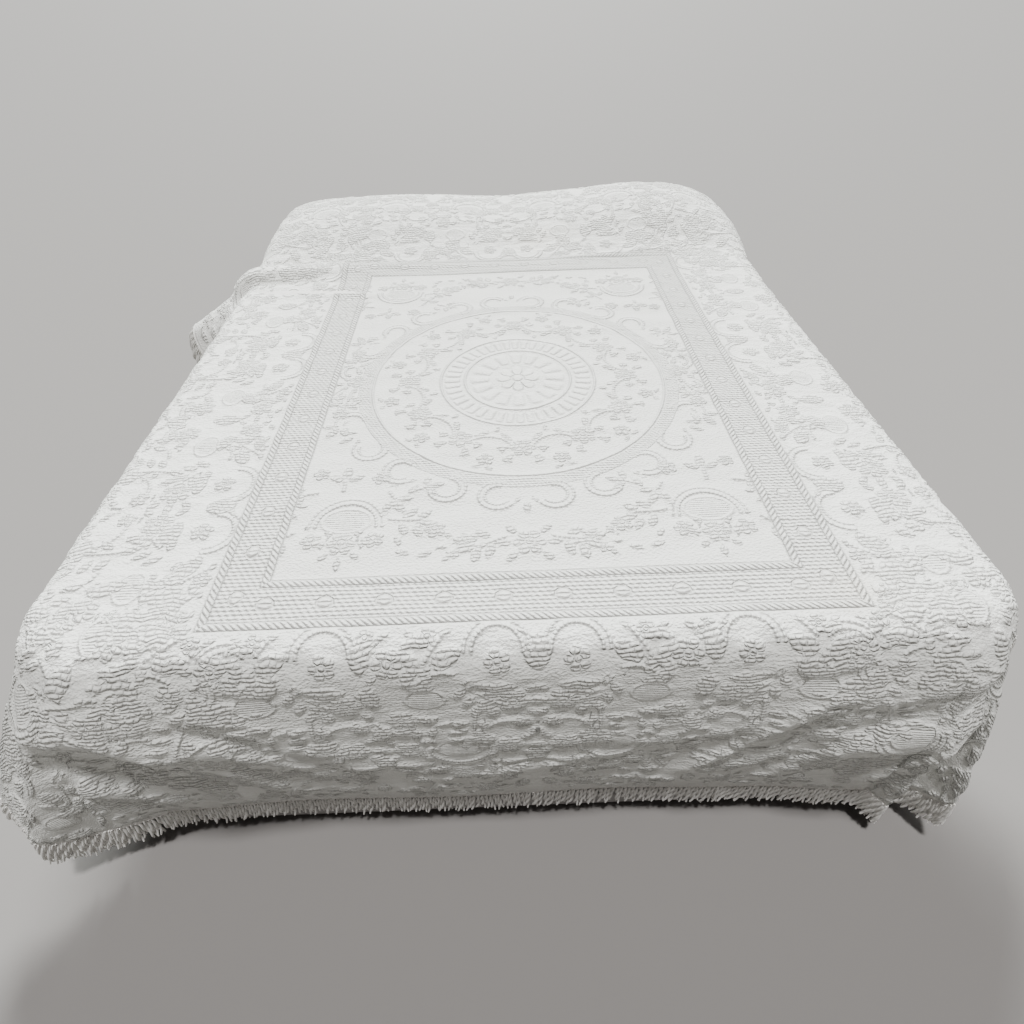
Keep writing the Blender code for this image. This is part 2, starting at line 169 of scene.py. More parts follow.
def by_line(u, v, u0, v0, u1, v1):
    """A line's length, and how far along it and off it each point lies."""
    length = math.hypot(u1 - u0, v1 - v0)
    du, dv = (u1 - u0) / length, (v1 - v0) / length
    return length, (u - u0) * du + (v - v0) * dv, (u - u0) * dv - (v - v0) * du


def soft_folds(u, v):
    height = np.zeros_like(u)
    for *line, width, rise in SOFT_FOLDS:
        length, along, off = by_line(u, v, *line)
        fade = np.cos(math.pi / 2 * np.clip(along / length, 0, 1)) ** FOLD_FADE
        height = height + rise * fade * hump(np.minimum(along, 0), 0, width) * hump(off, 0, width)
    return height


def lean(hang, out):
    """Angle from the vertical that brings the end of a drop this far out, after its roll."""
    angle = np.zeros_like(hang)
    for _ in range(LEAN_ROUNDS):
        straight = np.maximum(hang - (math.pi / 2 - angle) * ROLL, STRAIGHT_LEAST)
        reached = ROLL * (1 - np.sin(angle)) + straight * np.sin(angle)
        angle = np.clip(angle + (out - reached) / straight, *LEAN_LIMITS)
    return angle


def drape(u, v):
    """Places on the bed of flat cloth points."""
    left = u < 0
    side = np.where(left, -1.0, 1.0)
    middle = np.where(left, MIDDLE_LEFT, MIDDLE_RIGHT)
    centre = middle - MIDDLE_CORNER
    width = np.abs(u)
    past_side = np.maximum(width - centre, 0)
    past_foot = np.maximum(CORNER_ALONG - v, 0)
    in_corner = (past_side > 0) & (past_foot > 0)
    at_side = ~in_corner & (past_foot <= 0)
    degrees = np.degrees(np.arctan2(past_side, past_foot))

    def pick(corner, beside, at_foot):
        return np.where(in_corner, corner, np.where(at_side, beside, at_foot))

    past = pick(np.hypot(past_side, past_foot) - MIDDLE_CORNER, width - middle, MIDDLE_FOOT - v)
    past = np.maximum(past, 0)
    reach = np.where(left, corner_reach(degrees, MIDDLE_LEFT), corner_reach(degrees, MIDDLE_RIGHT))
    hang = pick(reach - MIDDLE_CORNER, CLOTH_WIDTH / 2 - middle, MIDDLE_FOOT + CLOTH_LENGTH / 2)
    flute_side = np.where(left, eased(degrees, LEFT_FLUTES), eased(degrees, RIGHT_FLUTES))
    flute_fore = np.where(left, eased(degrees, LEFT_FLUTES, 2), eased(degrees, RIGHT_FLUTES, 2))
    fold_side = np.where(left, eased(v, LEFT_FOLDS), eased(v, RIGHT_FOLDS))
    start_side = np.where(left, LEFT_FLUTES[0][1], RIGHT_FLUTES[0][1])
    end_fore = np.where(left, LEFT_FLUTES[-1][2], RIGHT_FLUTES[-1][2])
    drift = np.clip((width - DRIFT_START) / (centre - DRIFT_START), 0, 1) ** 2
    fore_left = 1 - ramp(v, CORNER_ALONG + FORE_FADE[0], FORE_FADE[1])
    out_side = pick(flute_side, fold_side, start_side * drift)
    out_fore = pick(flute_fore, end_fore * fore_left, eased(u, FOOT_FOLDS))
    out = np.hypot(out_side, out_fore)
    angle = lean(hang, out)
    arc = (math.pi / 2 - angle) * ROLL
    turn = np.minimum(past, arc) / ROLL
    straight = np.maximum(past - arc, 0)
    away = ROLL * np.sin(turn) + straight * np.sin(angle)
    down = ROLL * (1 - np.cos(turn)) + straight * np.cos(angle)
    edge_side = pick(np.sin(np.radians(degrees)), 1.0, 0.0)
    edge_fore = pick(np.cos(np.radians(degrees)), 0.0, 1.0)
    fallen = straight / np.maximum(hang - arc, STRAIGHT_LEAST)
    away = away + edge_fore * fallen * (DROP_LEAN - DROP_TUCK * fallen)
    bend = np.sqrt(np.clip(past / hang, 0, 1))
    go_side = edge_side + (out_side / out - edge_side) * bend
    go_fore = edge_fore + (out_fore / out - edge_fore) * bend
    go = np.hypot(go_side, go_fore)
    foot_x = np.where(past > 0, pick(centre + edge_side * MIDDLE_CORNER, middle, width), width)
    foot_y = np.where(past > 0, pick(CORNER_ALONG - edge_fore * MIDDLE_CORNER, v, MIDDLE_FOOT), v)
    lift = soft_folds(u, v)
    push = np.sin(turn) * lift
    y = foot_y - go_fore / go * away - edge_fore * push + SHIFT_ALONG
    bulge = np.where(left, PILLOW_BULGE_LEFT, PILLOW_BULGE_RIGHT) * hump(y, PILLOW_ALONG, BULGE_SPREAD)
    bulge = bulge * ramp(width, middle, BULGE_START)
    x = side * (foot_x + go_side / go * away + edge_side * push + bulge)
    raised = pillow_lift(x, y) * hump(down, 0, LIFT_FADE) + np.cos(turn) * lift
    z = CLOTH_TOP - down + np.maximum(raised, 0)
    return np.stack([x + SHIFT_ACROSS, y, z], -1)


def facing(u, v, step=0.003):
    """The way the draped cloth faces at flat points."""
    inward = np.where(v > CLOTH_LENGTH / 2 - 2 * step, -step, step)
    across = drape(u + step, v) - drape(u - step, v)
    along = (drape(u, v + inward) - drape(u, v)) / inward[..., None]
    out = np.cross(across, along)
    return out / np.linalg.norm(out, axis=-1, keepdims=True)


# The woven figures
# Blooms, leaves, ribbons and nubby patches are woven in as padded figures. Each is placed on the flat
# cloth and leaves its own distances on the sheet's points, which the weave's relief is drawn from.
FRAME_HALF_WIDTH = 0.535
FRAME_HALF_LENGTH = 0.692
BAND = 0.095
MEDALLION_MIDDLE = (0.0, -0.010)
BLOOM_MARGIN = 0.004
STROKE_REACH = 0.015
PATCH_REACH = 0.09
POINT_GAP = 0.007
FAR = 0.04
MEDALLION_REPEATS = 12
UNITS_ACROSS = 4
UNITS_ALONG = 5
# Units on the frame's corners: width, turns of the inner ones, distance out and turn of the outer ones
CORNER_UNIT = 0.30
INNER_TURNS = (-24, 24)
OUTER_PLACES = ((.36, -38), (.36, 38), (.44, 0))
OUTER_TURN_SHARE = 0.75
# How far figures, ropes, the band and the rings stand off the ground, and how wide their edges are
BLOOM_RISE = 0.0034
LEAF_RISE = 0.0030
PATCH_RISE = 0.0012
STROKE_RISE = 0.0026
ROPE_RISE = 0.0020
BAND_RISE = 0.0008
RING_RISE = 0.0016
EDGE_SLOPE = 0.006
STROKE_SPREAD = 0.008
LINE_SPREAD = 0.007
ROPE_INSET = 0.006
MEDALLION_RINGS = (0.060, 0.128, 0.186, 0.348)
# Slack of the cloth: number of waves, their pitches, how much they stretch along, height for a pitch
SLACK_WAVES = 26
SLACK_PITCHES = (.035, .14)
SLACK_STRETCHES = (.10, .35)
SLACK_RISE = 0.0021
# Creases: from u, v to u, v, half width, height
CREASES = ((-.80, .715, -.30, .672, .018, -.0100), (-.78, .688, -.20, .648, .016, .0085),
           (-.45, .660, .34, .645, .015, .0058), (-.30, .622, .42, .610, .015, .0046),
           (-.84, .522, -.40, .492, .017, -.0100), (-.82, .490, -.30, .462, .016, .0080),
           (.64, .73, .08, .668, .017, .0064), (-.74, -.84, -.42, -1.20, .030, .0110),
           (-.66, -.80, -.30, -1.10, .026, -.0080), (-.84, -.98, -.66, -1.22, .026, .0080),
           (.24, -1.19, .52, -.80, .022, .0090), (.34, -1.22, .66, -.86, .024, -.0070),
           (.60, -1.23, .78, -.95, .024, .0090), (-.12, -1.12, .20, -1.02, .018, .0040))
CREASE_TAPER = 0.35
FOLD_SHARE = 0.6

blooms = []
leaves = []
strokes = []
patches = []


def turned(x, y, degrees):
    c, s = math.cos(math.radians(degrees)), math.sin(math.radians(degrees))
    return x * c - y * s, x * s + y * c


def spot(place, x, y):
    """A point of a motif on the flat cloth: place is (u, v, turn in degrees, mirror)."""
    u, v, turn, mirror = place
    du, dv = turned(x * mirror, y, turn)
    return u + du, v + dv


def bloom(place, x, y, radius, petals):
    u, v = spot(place, x, y)
    blooms.append((u, v, radius, petals, place[2]))


def leaf(place, x, y, degrees, length, width):
    """A pointed leaf. The weave's puckers part a broad one into a cluster of puffs."""
    u, v = spot(place, x, y)
    way = degrees if place[3] > 0 else 180 - degrees
    leaves.append((u, v, way + place[2], length, width))


def arc(place, x, y, radius, start, stop, lines):
    """A curved stroke round x, y between two angles: one line for a stem, two for a ribbon, kept as -1."""
    u, v = spot(place, x, y)
    if place[3] < 0:
        start, stop = 180 - stop, 180 - start
    strokes.append((u, v, radius, start + place[2], stop + place[2], 1 if lines == 1 else -1))


def patch(place, x, y, half_width, half_height):
    u, v = spot(place, x, y)
    patches.append((u, v, half_width, half_height, place[2]))


def stem(place, x, y, degrees, length, bend=0.22):
    """A stem that leaves x, y at an angle and curves gently to the left, bend being its radius."""
    cx = x + bend * math.cos(math.radians(degrees + 90))
    cy = y + bend * math.sin(math.radians(degrees + 90))
    arc(place, cx, cy, bend, degrees - 90, degrees - 90 + math.degrees(length / bend), 1)


def leaf_pairs(place, x, y, degrees, count, size=1.0):
    """A sprig: pairs of leaves up a stem, and one at its tip."""
    pitch, length, width = .027 * size, .043 * size, .0205 * size
    dx, dy = math.cos(math.radians(degrees)), math.sin(math.radians(degrees))
    stem(place, x - dx * .008, y - dy * .008, degrees, pitch * count)
    for number in range(count):
        for side in (-1, 1):
            at = pitch * (number + 0.5)
            out = degrees + side * 56
            cx = x + dx * at + math.cos(math.radians(out)) * length * 0.58
            cy = y + dy * at + math.sin(math.radians(out)) * length * 0.58
            leaf(place, cx, cy, out, length, width)
    tip = pitch * (count + 0.55)
    leaf(place, x + dx * tip, y + dy * tip, degrees, length * 1.1, width * 1.1)


def posy(place, x, y, size):
    """A bloom with small leaves round it."""
    bloom(place, x, y, size * 1.08, 6)
    for degrees in (0, 45, 135, 180, 225, 315):
        out = size * 1.50
        cx = x + out * math.cos(math.radians(degrees))
        cy = y + out * math.sin(math.radians(degrees))
        leaf(place, cx, cy, degrees, size * 1.15, size * 0.62)


def garden_unit(place, width):
    """One stretch of the outer field, y running out from the frame towards the hem."""
    arc(place, -width * .27, .046, .046, 180, 360, 2)
    bloom(place, -width * .27, .062, .023, 5)
    leaf_pairs(place, width * .06, .024, 48, 2)
    bloom(place, width * .13, .022, .017, 5)
    leaf(place, width * .03, .014, 15, .032, .015)
    leaf(place, width * .23, .017, -25, .032, .015)
    bloom(place, width * .49, .020, .016, 5)
    leaf(place, width * .39, .018, 30, .032, .015)
    leaf(place, -width * .42, .017, -20, .030, .014)
    posy(place, width * .36, .060, .025)
    leaf(place, -width * .48, .048, 90, .062, .036)
    leaf(place, width * .02, .052, 25, .058, .034)
    leaf(place, width * .20, .104, -20, .060, .034)
    leaf(place, -width * .27, .112, 0, .070, .030)
    leaf(place, width * .49, .128, 90, .066, .034)
    arc(place, width * .05, .128, .052, 195, 350, 1)
    leaf_pairs(place, -width * .06, .092, 118, 3)
    posy(place, -width * .35, .150, .030)
    patch(place, width * .17, .140, .030, .023)
    arc(place, width * .33, .190, .050, 20, 175, 2)
    bloom(place, width * .33, .196, .028, 6)
    leaf_pairs(place, -width * .12, .190, 78, 3)
    leaf_pairs(place, width * .08, .210, 15, 2)
    arc(place, -width * .34, .258, .052, 180, 345, 1)
    bloom(place, -width * .40, .215, .019, 5)
    leaf(place, width * .47, .238, 60, .062, .036)
    leaf(place, -width * .14, .270, -30, .058, .032)
    leaf(place, -width * .48, .330, 100, .060, .034)
    leaf(place, width * .16, .385, 20, .056, .032)
    leaf(place, -width * .18, .420, -15, .060, .032)
    patch(place, 0, .300, .038, .027)
    arc(place, 0, .300, .058, 0, 180, 2)
    posy(place, -width * .32, .292, .029)
    posy(place, width * .33, .298, .027)
    leaf_pairs(place, -width * .20, .352, 128, 2)
    leaf_pairs(place, width * .20, .352, 52, 2)
    posy(place, 0, .405, .030)
    arc(place, -width * .42, .412, .058, 195, 345, 1)
    arc(place, width * .42, .412, .058, 195, 345, 1)
    bloom(place, -width * .30, .438, .022, 5)
    bloom(place, width * .30, .438, .022, 5)
    posy(place, -width * .14, .494, .024)
    leaf(place, width * .12, .480, 10, .060, .030)
    leaf_pairs(place, width * .24, .470, 62, 2)
    leaf(place, -width * .40, .482, 75, .060, .032)
    bloom(place, width * .46, .505, .019, 5)
    leaf(place, width * .06, .524, -8, .052, .026)
    for side in (-1, 1):
        leaf(place, side * width * .13, .440, 90 - side * 40, .036, .016)
        leaf(place, side * width * .17, .270, 90 + side * 35, .034, .015)
        leaf(place, side * width * .46, .345, 90, .034, .015)


def lay_out_field():
    """The outer field: units along each edge of the frame, and turned ones on its corners."""
    across = 2 * FRAME_HALF_WIDTH / UNITS_ACROSS
    along = 2 * FRAME_HALF_LENGTH / UNITS_ALONG
    for number in range(UNITS_ACROSS):
        at = (number - (UNITS_ACROSS - 1) / 2) * across
        mirror = 1 if number < UNITS_ACROSS / 2 else -1
        garden_unit((at, -FRAME_HALF_LENGTH, 180, mirror), across)
        garden_unit((at, FRAME_HALF_LENGTH, 0, -mirror), across)
    for number in range(UNITS_ALONG):
        at = (number - (UNITS_ALONG - 1) / 2) * along
        mirror = 1 if number % 2 else -1
        garden_unit((-FRAME_HALF_WIDTH, at, 90, mirror), along)
        garden_unit((FRAME_HALF_WIDTH, at, -90, -mirror), along)
    for side in (-1, 1):
        for end in (-1, 1):
            turn = math.degrees(math.atan2(-side, end))
            corner_u, corner_v = side * FRAME_HALF_WIDTH, end * FRAME_HALF_LENGTH
            for step in INNER_TURNS:
                garden_unit((corner_u, corner_v, turn + step, side * end), CORNER_UNIT)
            for out, step in OUTER_PLACES:
                away_u, away_v = turned(0, out, turn + step * OUTER_TURN_SHARE)
                garden_unit((corner_u + away_u, corner_v + away_v, turn + step, -side * end), CORNER_UNIT)


def lay_out_medallion():
    """The rings of blooms, leaves and scrolls round the middle."""
    u, v = MEDALLION_MIDDLE
    step = 360 / MEDALLION_REPEATS
    for number in range(MEDALLION_REPEATS):
        place = (u, v, number * step, 1)
        posy(place, 0, .262, .028)
        for side in (-1, 1):
            leaf(place, side * .036, .224, 90 + side * 30, .036, .016)
            leaf(place, side * .034, .302, 90 + side * 60, .034, .015)
        between = (u, v, (number + 0.5) * step, 1)
        bloom(between, 0, .306, .020, 5)
        arc(between, 0, .292, .060, 215, 325, 1)
        leaf(between, 0, .206, 90, .030, .015)
        for side in (-1, 1):
            leaf(between, side * .024, .222, 90 - side * 50, .032, .015)
            leaf(between, side * .026, .268, 90 - side * 25, .034, .015)
            leaf(between, side * .014, .330, 90 - side * 70, .030, .014)
    for number in range(MEDALLION_REPEATS):
        place = (u, v, number * step, 1)
        arc(place, -.055, .402, .031, 40, 285, 2)
        arc(place, .055, .402, .031, -105, 140, 2)
        leaf(place, 0, .436, 90, .040, .018)
        leaf(place, -.018, .416, 125, .028, .013)
        leaf(place, .018, .416, 55, .028, .013)


def lay_out_corners():
    """Baskets with blooms in the corners inside the frame, and sprays between them."""
    for side in (-1, 1):
        for end in (-1, 1):
            place = (side * .335, end * .475, 0 if end > 0 else 180, side * end)
            arc(place, 0, .004, .062, 180, 360, 2)
            patch(place, 0, -.010, .044, .028)
            posy(place, 0, .047, .026)
            bloom(place, -.056, .038, .021, 5)
            bloom(place, .056, .038, .021, 5)
            leaf_pairs(place, .080, -.085, 8, 1, .9)
            leaf_pairs(place, -.075, -.075, 120, 1, .9)
            leaf_pairs(place, -.085, -.010, 168, 2)
            bloom(place, -.165, .020, .022, 5)
            bloom(place, .072, -.140, .018, 5)
            leaf_pairs(place, .098, .020, 40, 2)
            posy(place, .128, -.052, .024)
            leaf_pairs(place, -.125, -.085, 200, 1, .9)
            bloom(place, -.050, -.125, .021, 5)
            posy(place, -.215, .060, .024)
            leaf_pairs(place, .020, -.100, 270, 1)
            leaf(place, -.110, .070, 160, .036, .017)
            leaf(place, -.150, .075, 20, .036, .017)
            leaf(place, .000, .092, 90, .034, .016)
            leaf(place, -.100, .045, 120, .032, .015)
        place = (side * .395, 0, 90 if side < 0 else -90, 1)
        posy(place, 0, -.005, .026)
        for way in (-1, 1):
            leaf_pairs(place, way * .045, .000, 90 - way * 78, 2)
            bloom(place, way * .130, .012, .021, 5)
            leaf_pairs(place, way * .165, -.004, 90 - way * 60, 1)
    for end in (-1, 1):
        place = (0, end * .532, 0 if end > 0 else 180, 1)
        posy(place, 0, 0, .030)
        for side in (-1, 1):
            leaf_pairs(place, side * .050, -.012, 90 - side * 72, 2)
            bloom(place, side * .128, .012, .022, 5)


def nearest_kept(near, second, kept, distance):
    """Keeps the two smallest distances at the points kept, and tells which got a new smallest."""
    nearer = distance < near[kept]
    second[kept] = np.where(nearer, near[kept], np.minimum(second[kept], distance))
    near[kept] = np.where(nearer, distance, near[kept])
    return nearer


def figure_fields(u, v):
    """What each point of the sheet knows of its nearest figures. Three fields: in the bloom (x, y, petals),
    from the stroke (off, along, lines), and off the leaf, off the patch, whether a bloom shows."""
    count = len(u)
    bloom_field = np.zeros((count, 3))
    near, second = np.full(count, FAR), np.full(count, FAR)
    for bu, bv, radius, petals, turn in blooms:
        close = np.nonzero((np.abs(u - bu) < radius * 2) & (np.abs(v - bv) < radius * 2))[0]
        x, y = turned(u[close] - bu, v[close] - bv, -turn)
        nearer = nearest_kept(near, second, close, np.hypot(x, y) - radius)
        bloom_field[close[nearer]] = np.stack([x / radius, y / radius, np.full(len(x), petals)], -1)[nearer]
    bloom_share = (near < BLOOM_MARGIN) & (second - near > POINT_GAP)
    leaf_field = np.full(count, FAR)
    for lu, lv, way, length, width in leaves:
        close = np.nonzero((np.abs(u - lu) < length) & (np.abs(v - lv) < length))[0]
        x, y = turned(u[close] - lu, v[close] - lv, -way)
        half = width / 2 * (1 - np.clip(np.abs(x) / (length / 2), 0, 2) ** 2)
        leaf_field[close] = np.minimum(leaf_field[close], np.abs(y) - half)
    patch_field = np.full(count, FAR)
    for pu, pv, half_width, half_height, turn in patches:
        close = np.nonzero((np.abs(u - pu) < PATCH_REACH) & (np.abs(v - pv) < PATCH_REACH))[0]
        x, y = turned(u[close] - pu, v[close] - pv, -turn)
        off = (np.hypot(x / half_width, y / half_height) - 1) * half_height
        patch_field[close] = np.minimum(patch_field[close], off)
    stroke_field = np.zeros((count, 3))
    stroke_field[:, 0] = FAR
    near, second = np.full(count, FAR), np.full(count, FAR)
    for su, sv, radius, start, stop, lines in strokes:
        close = np.nonzero((np.abs(u - su) < radius + FAR) & (np.abs(v - sv) < radius + FAR))[0]
        half = math.radians(stop - start) / 2
        x, y = turned(u[close] - su, v[close] - sv, -(start + stop) / 2)
        angle = np.arctan2(y, x)
        past = np.maximum(np.abs(angle) - half, 0) * radius
        off = np.hypot(x, y) - radius
        gap = np.hypot(off, past)
        nearer = nearest_kept(near, second, close, gap)
        shown = np.where(past < POINT_GAP / 2, lines, 0)
        stroke_field[close[nearer]] = np.stack([off, angle * radius, shown], -1)[nearer]
    crossing = (second < STROKE_REACH) & (second - near < POINT_GAP)
    stroke_field[:, 2] = np.where((near < STROKE_REACH) & ~crossing, stroke_field[:, 2], 0)
    figure_field = np.stack([leaf_field, patch_field, bloom_share.astype(float)], -1)
    return bloom_field, stroke_field, figure_field


def unevenness(u, v):
    """Slack and puckers of washed cloth: long low waves, most of them running across the bed."""
    waves = random.Random(4)
    height = np.zeros_like(u)
    for _ in range(SLACK_WAVES):
        pitch = waves.uniform(*SLACK_PITCHES)
        stretch = waves.uniform(*SLACK_STRETCHES)
        slope = waves.choice((-1, 1)) * stretch
        phase = waves.uniform(0, 2 * math.pi)
        bend = waves.uniform(.2, .6) * np.sin(u * waves.uniform(5, 12) + phase)
        height += pitch * SLACK_RISE * np.sin(2 * math.pi / pitch * (v + slope * u) + phase + bend)
    return height


def creases(u, v):
    """Soft creases of this one bed: in front of the pillows, and slanting down the drop at the foot."""
    height = FOLD_SHARE * np.maximum(soft_folds(u, v), 0)
    for *line, width, rise in CREASES:
        length, along, off = by_line(u, v, *line)
        fade = np.clip(np.minimum(along, length - along) / (length * CREASE_TAPER), 0, 1)
        height = height + rise * (1 - np.cos(math.pi * fade)) / 2 * hump(off, 0, width)
    return height


def figure_relief(u, v, fields):
    """How far the padded figures stand off the ground weave."""
    bloom_field, stroke_field, figure_field = fields
    leaf_field, patch_field, bloom_share = figure_field.T
    r = np.hypot(bloom_field[:, 0], bloom_field[:, 1])
    height = BLOOM_RISE * bloom_share * np.sqrt(np.clip(1 - r ** 2, 0, 1))
    height = np.maximum(height, LEAF_RISE * np.clip(-leaf_field / EDGE_SLOPE, 0, 1))
    height = np.maximum(height, PATCH_RISE * np.clip(-patch_field / EDGE_SLOPE, 0, 1))
    stroke = np.abs(stroke_field[:, 2]) * STROKE_RISE
    height = np.maximum(height, stroke * hump(stroke_field[:, 0], 0, STROKE_SPREAD))
    frame_off = np.maximum(np.abs(u) - FRAME_HALF_WIDTH, np.abs(v) - FRAME_HALF_LENGTH)
    for edge in (-ROPE_INSET, ROPE_INSET - BAND):
        height = np.maximum(height, ROPE_RISE * hump(frame_off, edge, LINE_SPREAD))
    height = np.maximum(height, BAND_RISE * (frame_off < 0) * (frame_off > -BAND))
    ring = np.hypot(u - MEDALLION_MIDDLE[0], v - MEDALLION_MIDDLE[1])
    for radius in MEDALLION_RINGS:
        height = np.maximum(height, RING_RISE * hump(ring, radius, LINE_SPREAD))
    return height


# The bedspread itself
# One piece of white cotton in a padded double weave: puffed figures on a fine ribbed ground, with its
# hem turned under. The sheet follows the fall above, and its relief stands off along its own facing.
HEM_TURN = 0.014
HEM_ROUND = 0.004
HEM_THICKNESS = 0.0024
HEM_FLAT = 0.03
FOOT_PITCH = 0.0063
HEAD_PITCH = 0.0090
PITCH_CHANGE = 0.10
ACROSS_CELLS = 279


def hem_lines(lines):
    """Adds the turned hem at both ends of a run of grid lines: places, and whether each lies under."""
    low, high = lines[0], lines[-1]
    first = [low + HEM_TURN, low + HEM_ROUND]
    last = [high - HEM_ROUND, high - HEM_TURN]
    under = [1.0, 1.0, 0.5] + [0.0] * (len(lines) - 2) + [0.5, 1.0, 1.0]
    return np.array(first + list(lines) + last), np.array(under)


def sheet_grid():
    """Flat points of the fine sheet, row by row, its foot corners rounded, and how far each is under."""
    half_width, half_length = CLOTH_WIDTH / 2, CLOTH_LENGTH / 2
    foot_rows = round((PITCH_CHANGE + half_length) / FOOT_PITCH)
    head_rows = round((half_length - PITCH_CHANGE) / HEAD_PITCH)
    across, across_under = hem_lines(np.linspace(-half_width, half_width, ACROSS_CELLS + 1))
    rows = np.concatenate([np.linspace(-half_length, PITCH_CHANGE, foot_rows + 1)[:-1],
                           np.linspace(PITCH_CHANGE, half_length, head_rows + 1)])
    along, along_under = hem_lines(rows)
    u, v = np.meshgrid(across, along)
    under = np.maximum(*np.meshgrid(across_under, along_under))
    middle = np.where(u < 0, MIDDLE_LEFT, MIDDLE_RIGHT)
    centre = middle - MIDDLE_CORNER
    past_side = np.maximum(np.abs(u) - centre, 0)
    past_foot = np.maximum(CORNER_ALONG - v, 0)
    radians = np.arctan2(past_side, past_foot)
    wide = half_width - centre
    deep = CORNER_ALONG + half_length
    square = np.minimum(wide / np.maximum(np.sin(radians), TINY), deep / np.maximum(np.cos(radians), TINY))
    reach = np.where(u < 0, corner_reach(np.degrees(radians), MIDDLE_LEFT),
                     corner_reach(np.degrees(radians), MIDDLE_RIGHT))
    in_corner = (past_side > 0) & (past_foot > 0)
    scale = np.where(in_corner, reach / square, 1.0)
    u = np.where(in_corner, np.sign(u) * (centre + past_side * scale), u)
    v = np.where(in_corner, CORNER_ALONG - past_foot * scale, v)
    return u, v, under


def sheet_points(u, v, fields, under):
    lift = unevenness(u, v) + creases(u, v) + figure_relief(u, v, fields)
    edge = np.minimum(CLOTH_WIDTH / 2 - np.abs(u), np.minimum(v + CLOTH_LENGTH / 2, CLOTH_LENGTH / 2 - v))
    lift = np.where(under > 0, 0, lift * np.clip(edge / HEM_FLAT, 0, 1))
    return drape(u, v) + facing(u, v) * (lift - under * HEM_THICKNESS)[:, None]


def grid_piece(name, rows, columns):
    """A grid primitive to be shaped, with the row and column of each of its points."""
    bpy.ops.object.select_all(action="DESELECT")
    bpy.ops.mesh.primitive_grid_add(x_subdivisions=columns - 1, y_subdivisions=rows - 1, size=2)
    piece = bpy.context.object
    piece.name = name
    piece.data.name = name
    at = np.zeros(rows * columns * 3, np.float32)
    piece.data.vertices.foreach_get("co", at)
    column = np.rint((at[0::3] + 1) / 2 * (columns - 1)).astype(int)
    row = np.rint((at[1::3] + 1) / 2 * (rows - 1)).astype(int)
    return piece, row, column


def move_points(piece, places):
    piece.data.vertices.foreach_set("co", places.astype(np.float32).ravel())
    piece.data.update()


lay_out_field()
lay_out_medallion()
lay_out_corners()
grid_u, grid_v, grid_under = sheet_grid()
bedspread, row, column = grid_piece("bedspread", *grid_u.shape)
flat_u = grid_u[row, column]
flat_v = grid_v[row, column]
fields = figure_fields(flat_u, flat_v)
move_points(bedspread, sheet_points(flat_u, flat_v, fields, grid_under[row, column]))
corner_vertex = np.zeros(len(bedspread.data.loops), np.int32)
bedspread.data.loops.foreach_get("vertex_index", corner_vertex)
flat_map = bedspread.data.uv_layers[0]
flat_map.name = "flat_cloth"
flat_map.data.foreach_set("uv", np.stack([flat_u, flat_v], -1)[corner_vertex].astype(np.float32).ravel())
for name, field in zip(("bloom", "stroke", "figure"), fields):
    layer = bedspread.data.attributes.new(name, "FLOAT_VECTOR", "POINT")
    layer.data.foreach_set("vector", field.astype(np.float32).ravel())
bedspread.data.shade_smooth()


# The cotton's finish
# Matt bleached cotton. Fine threads run both ways everywhere; the figures are drawn in relief from the
# distances on the points, and the frame, ropes and rings straight from the flat measure of the cloth.
COTTON = (0.83, 0.84, 0.80)
# The painted shade colour that darkens the weave's hollows, on the next line
COTTON_PAINTED_SHADE = (0.32, 0.31, 0.29)
COTTON_AGED = (0.80, 0.745, 0.63)
FIGURE_HEIGHT = 0.0052
GATHER_HEIGHT = 0.0039
PEBBLE_HEIGHT = 0.0026
# A nub: how its rows slant, how deep its gaps are along and across
NUB_SLANT = 0.3
NUB_GAP = 0.40
NUB_CROSS_GAP = 0.70
NUB_NOTCH = 0.35
# A bloom of radius 1: reach of a petal and of the notch beside it, edges of petals, splits and eye
PETAL_LOBE = 0.42
PETAL_NOTCH = 0.60
PETAL_EDGE = (0.0, 0.20)
PETAL_SPLIT = (0.0, 0.45)
PETAL_SPLIT_DEPTH = 0.75
PETAL_ROOT = (0.24, 0.38)
EYE_EDGE = (0.14, 0.27)
# The frame: nubs across and along, ropes, and ovals with a seam
FRAME_NUBS = (0.0119, 0.0080)
ROPE_WIDTH = 0.015
ROPE_TWIST = 0.0115
ROPE_EDGE = (1.06, 0.21)
OVAL_PITCH = 0.097
OVAL_HALF_ALONG = 0.0135
OVAL_HALF_ACROSS = 0.0112
OVAL_SEAM = 0.0020
OVAL_EYE = (0.45, 1.05)
OVAL_GROOVE = (1.00, 1.25)
# The medallion: where each ring rises and falls, how many petals and bars, its nubs and thin ropes
ROSETTE_RADIUS = 0.055
ROSETTE_PETALS = 8
PETAL_RING = ((0.064, 0.074), (0.106, 0.118))
BAR_RING = ((0.138, 0.144), (0.172, 0.180))
BARS = 22
NUB_RING = ((0.353, 0.356), (0.380, 0.383))
RING_NUBS = (0.0085, 0.0065)
THIN_ROPES = MEDALLION_RINGS[1:]
THIN_ROPE = 0.003
# The figures: puckers across and along and their drift, ribs, beads, leaf, stem, ribbon and patch edges
PUCKERS = (0.0132, 0.0086)
PUCKER_SHIFT = 0.37
PUCKER_DRIFT = 0.016
RIB_PITCH = 0.0052
BEAD_PITCH = 0.0085
LEAF_EDGE = (-0.0042, 0.0002)
STEM_HALF = 0.0036
RIBBON_APART = 0.0058
RIBBON_HALF = 0.0030
PATCH_EDGE = (-0.003, 0.0)
PATCH_RIM = (0.001, 0.0030)
# The ground: noise scales for gathers and pebbles, how far out it is gathered, and the plain share
GATHER_SCALE = (24, 66, 1)
PEBBLE_SCALE = (170, 240, 1)
GATHER_START = (0.0, 0.03)
GATHER_END = (0.50, 0.55)
GATHER_PLAIN = 0.2
